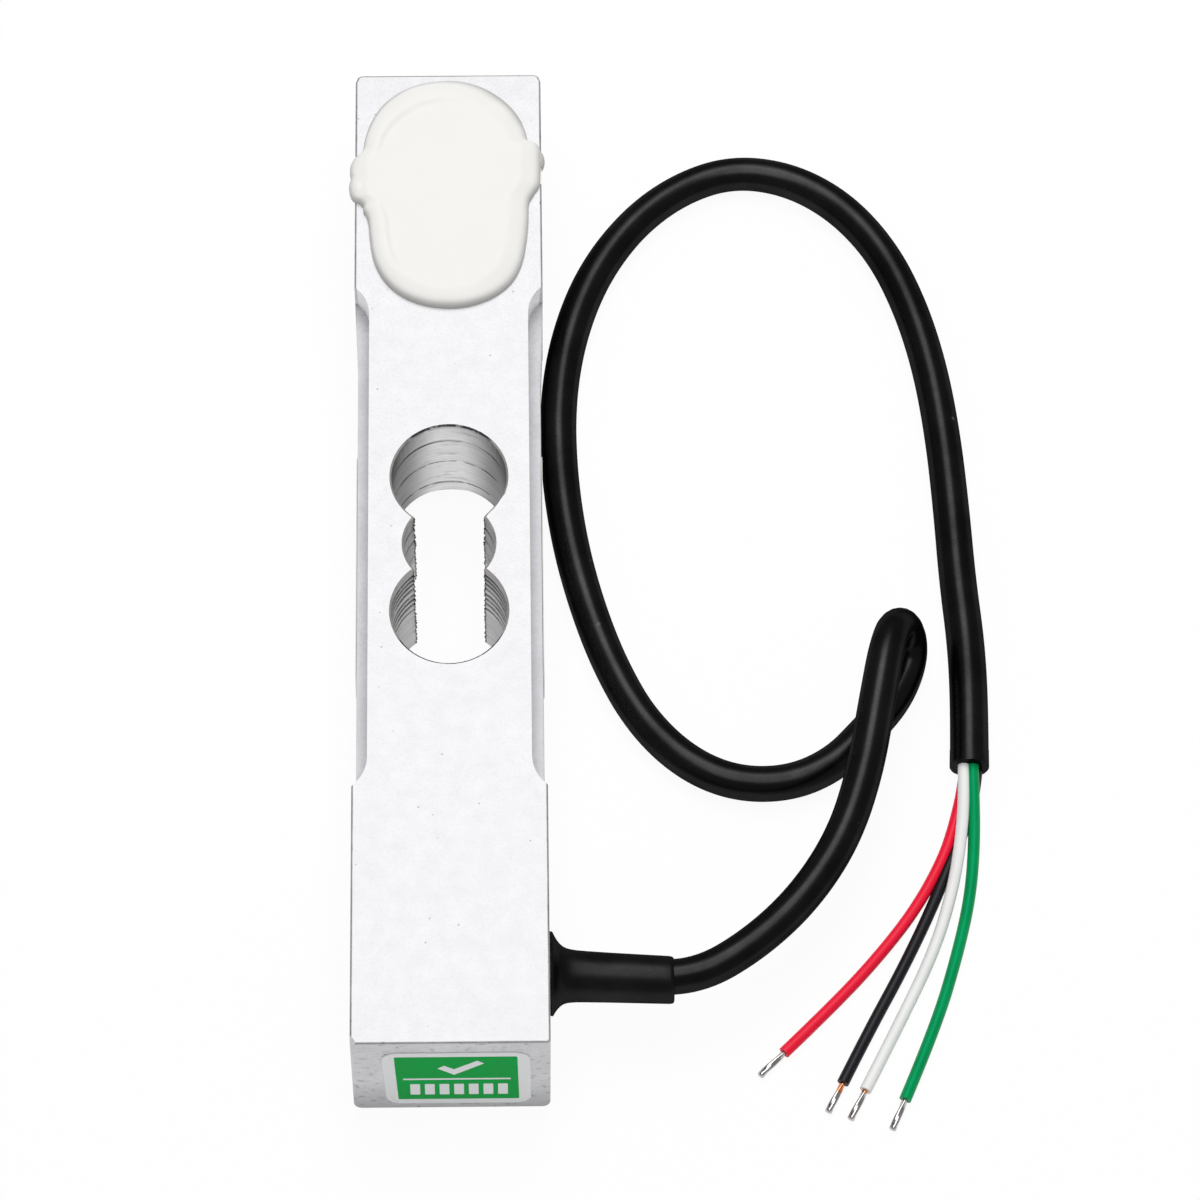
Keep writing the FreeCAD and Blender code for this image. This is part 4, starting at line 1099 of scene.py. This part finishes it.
def rounded(x0, x1, z0, z1, radius, steps):
    """A rectangle with round corners."""
    outline = []
    for cx, cz, quarter in (
        (x1 - radius, z1 - radius, 0), (x0 + radius, z1 - radius, 1),
        (x0 + radius, z0 + radius, 2), (x1 - radius, z0 + radius, 3),
    ):
        for i in range(steps + 1):
            a = math.pi / 2.0 * (quarter + i / steps)
            outline.append((cx + radius * math.cos(a), cz + radius * math.sin(a)))
    return outline


def leaning(outline, left, right):
    x0, x1 = min(x for x, _ in outline), max(x for x, _ in outline)
    top = max(z for _, z in outline)
    return [(x + (left + (right - left) * (x - x0) / (x1 - x0)) * (top - z), z) for x, z in outline]


def plate(outline, layer):
    """A thin plate on the near end face, from an outline in X and Z."""
    end = -BAR_HALF_LENGTH - NEAR_END_SHIFT
    points = [(x, end - height, z) for height in layer for x, z in outline]
    return points, closed_faces(2, len(outline))


def add_plates(name, outlines, layer, material, replaced=()):
    points, faces = [], []
    for outline in outlines:
        append_form(points, faces, plate(outline, layer))
    add_mesh(name, points, faces, [material], replaced, sharp_from=30.0)


def add_label():
    sheet = leaning(rounded(*SHEET, SHEET_CORNER_STEPS), *SHEET_LEAN)
    add_plates("label", [sheet], SHEET_LAYER, SHEET_FINISH, ("end_label",))
    field = leaning(rounded(*FIELD, SHEET_CORNER_STEPS), *FIELD_LEAN)
    add_plates("label_field", [field], FIELD_LAYER, GREEN_FINISH)
    marks = [rounded(*RULE, MARK_CORNER_STEPS), TICK]
    for n in range(BLOCK_COUNT):
        left, right, *rest = FIRST_BLOCK
        marks.append(rounded(left + BLOCK_PITCH * n, right + BLOCK_PITCH * n, *rest, MARK_CORNER_STEPS))
    add_plates("label_marks", marks, MARKS_LAYER, SHEET_FINISH)


add_label()


# Floor, light and world, metres
FLOOR_REACH = 3.0
FLOOR_MATTE = (0.95, 0.95, 0.95, 1.0)
FLOOR_SHADE = (0.06, 0.06, 0.06, 1.0)
FLOOR_GLOW = 0.94
WORLD_COLOUR = (1.0, 1.0, 1.0, 1.0)
WORLD_STRENGTH = 0.33


def floor_finish():
    """White with a faint shadow to the camera and in reflections, and matte to all other light."""
    s = Shader("floor")
    s.nodes.remove(s.surface)
    path = s.nodes.new("ShaderNodeLightPath").outputs
    seen = s.calculate("MAXIMUM", path["Is Camera Ray"], path["Is Glossy Ray"])
    matte = s.add("BsdfDiffuse", 0, {"Color": FLOOR_MATTE})
    shade = s.add("BsdfDiffuse", 0, {"Color": FLOOR_SHADE})
    glow = s.add("Emission", 0, {"Strength": FLOOR_GLOW})
    white = s.add("AddShader", 0, {0: shade, 1: glow})
    s.show(s.add("MixShader", 0, {0: seen, 1: matte, 2: white}))
    s.material.cycles.emission_sampling = "NONE"
    return s.material


def add_floor():
    data = bpy.data.meshes.new("floor")
    corners = [(x * FLOOR_REACH, y * FLOOR_REACH, 0.0) for x, y in ((-1, -1), (1, -1), (1, 1), (-1, 1))]
    data.from_pydata(corners, [], [(0, 1, 2, 3)])
    data.materials.append(floor_finish())
    new_object("floor", data)


def add_softbox(name, at, look, width, depth, radiance):
    data = bpy.data.lights.new(name, "AREA")
    data.shape = "RECTANGLE"
    data.size = width
    data.size_y = depth
    data.energy = radiance * math.pi * width * depth
    lamp = new_object(name, data)
    lamp.location = at
    away = Vector(at) - Vector(look)
    lamp.rotation_euler = (-math.atan2(away.y, away.z), math.atan2(away.x, away.z), 0.0)


def add_world():
    world = bpy.data.worlds.new("studio")
    bpy.context.scene.world = world
    world.use_nodes = True
    background = world.node_tree.nodes["Background"]
    background.inputs["Color"].default_value = WORLD_COLOUR
    background.inputs["Strength"].default_value = WORLD_STRENGTH


add_floor()
add_softbox("overhead", at=(0.01, 0.13, 1.0), look=(0.0, 0.0, 0.0), width=0.54, depth=0.95, radiance=3.95)
add_softbox("beyond", at=(0.05, 0.64, 0.95), look=(0.02, 0.0, 0.0), width=0.52, depth=0.40, radiance=2.4)
add_world()
bpy.context.scene.view_settings.view_transform = "Standard"

for part in frame["record"]["subparts"]:
    if part["material_slot"] in SOLID_FINISHES:
        NODES[part["node"]].material_slots[0].material = SOLID_FINISHES[part["material_slot"]]
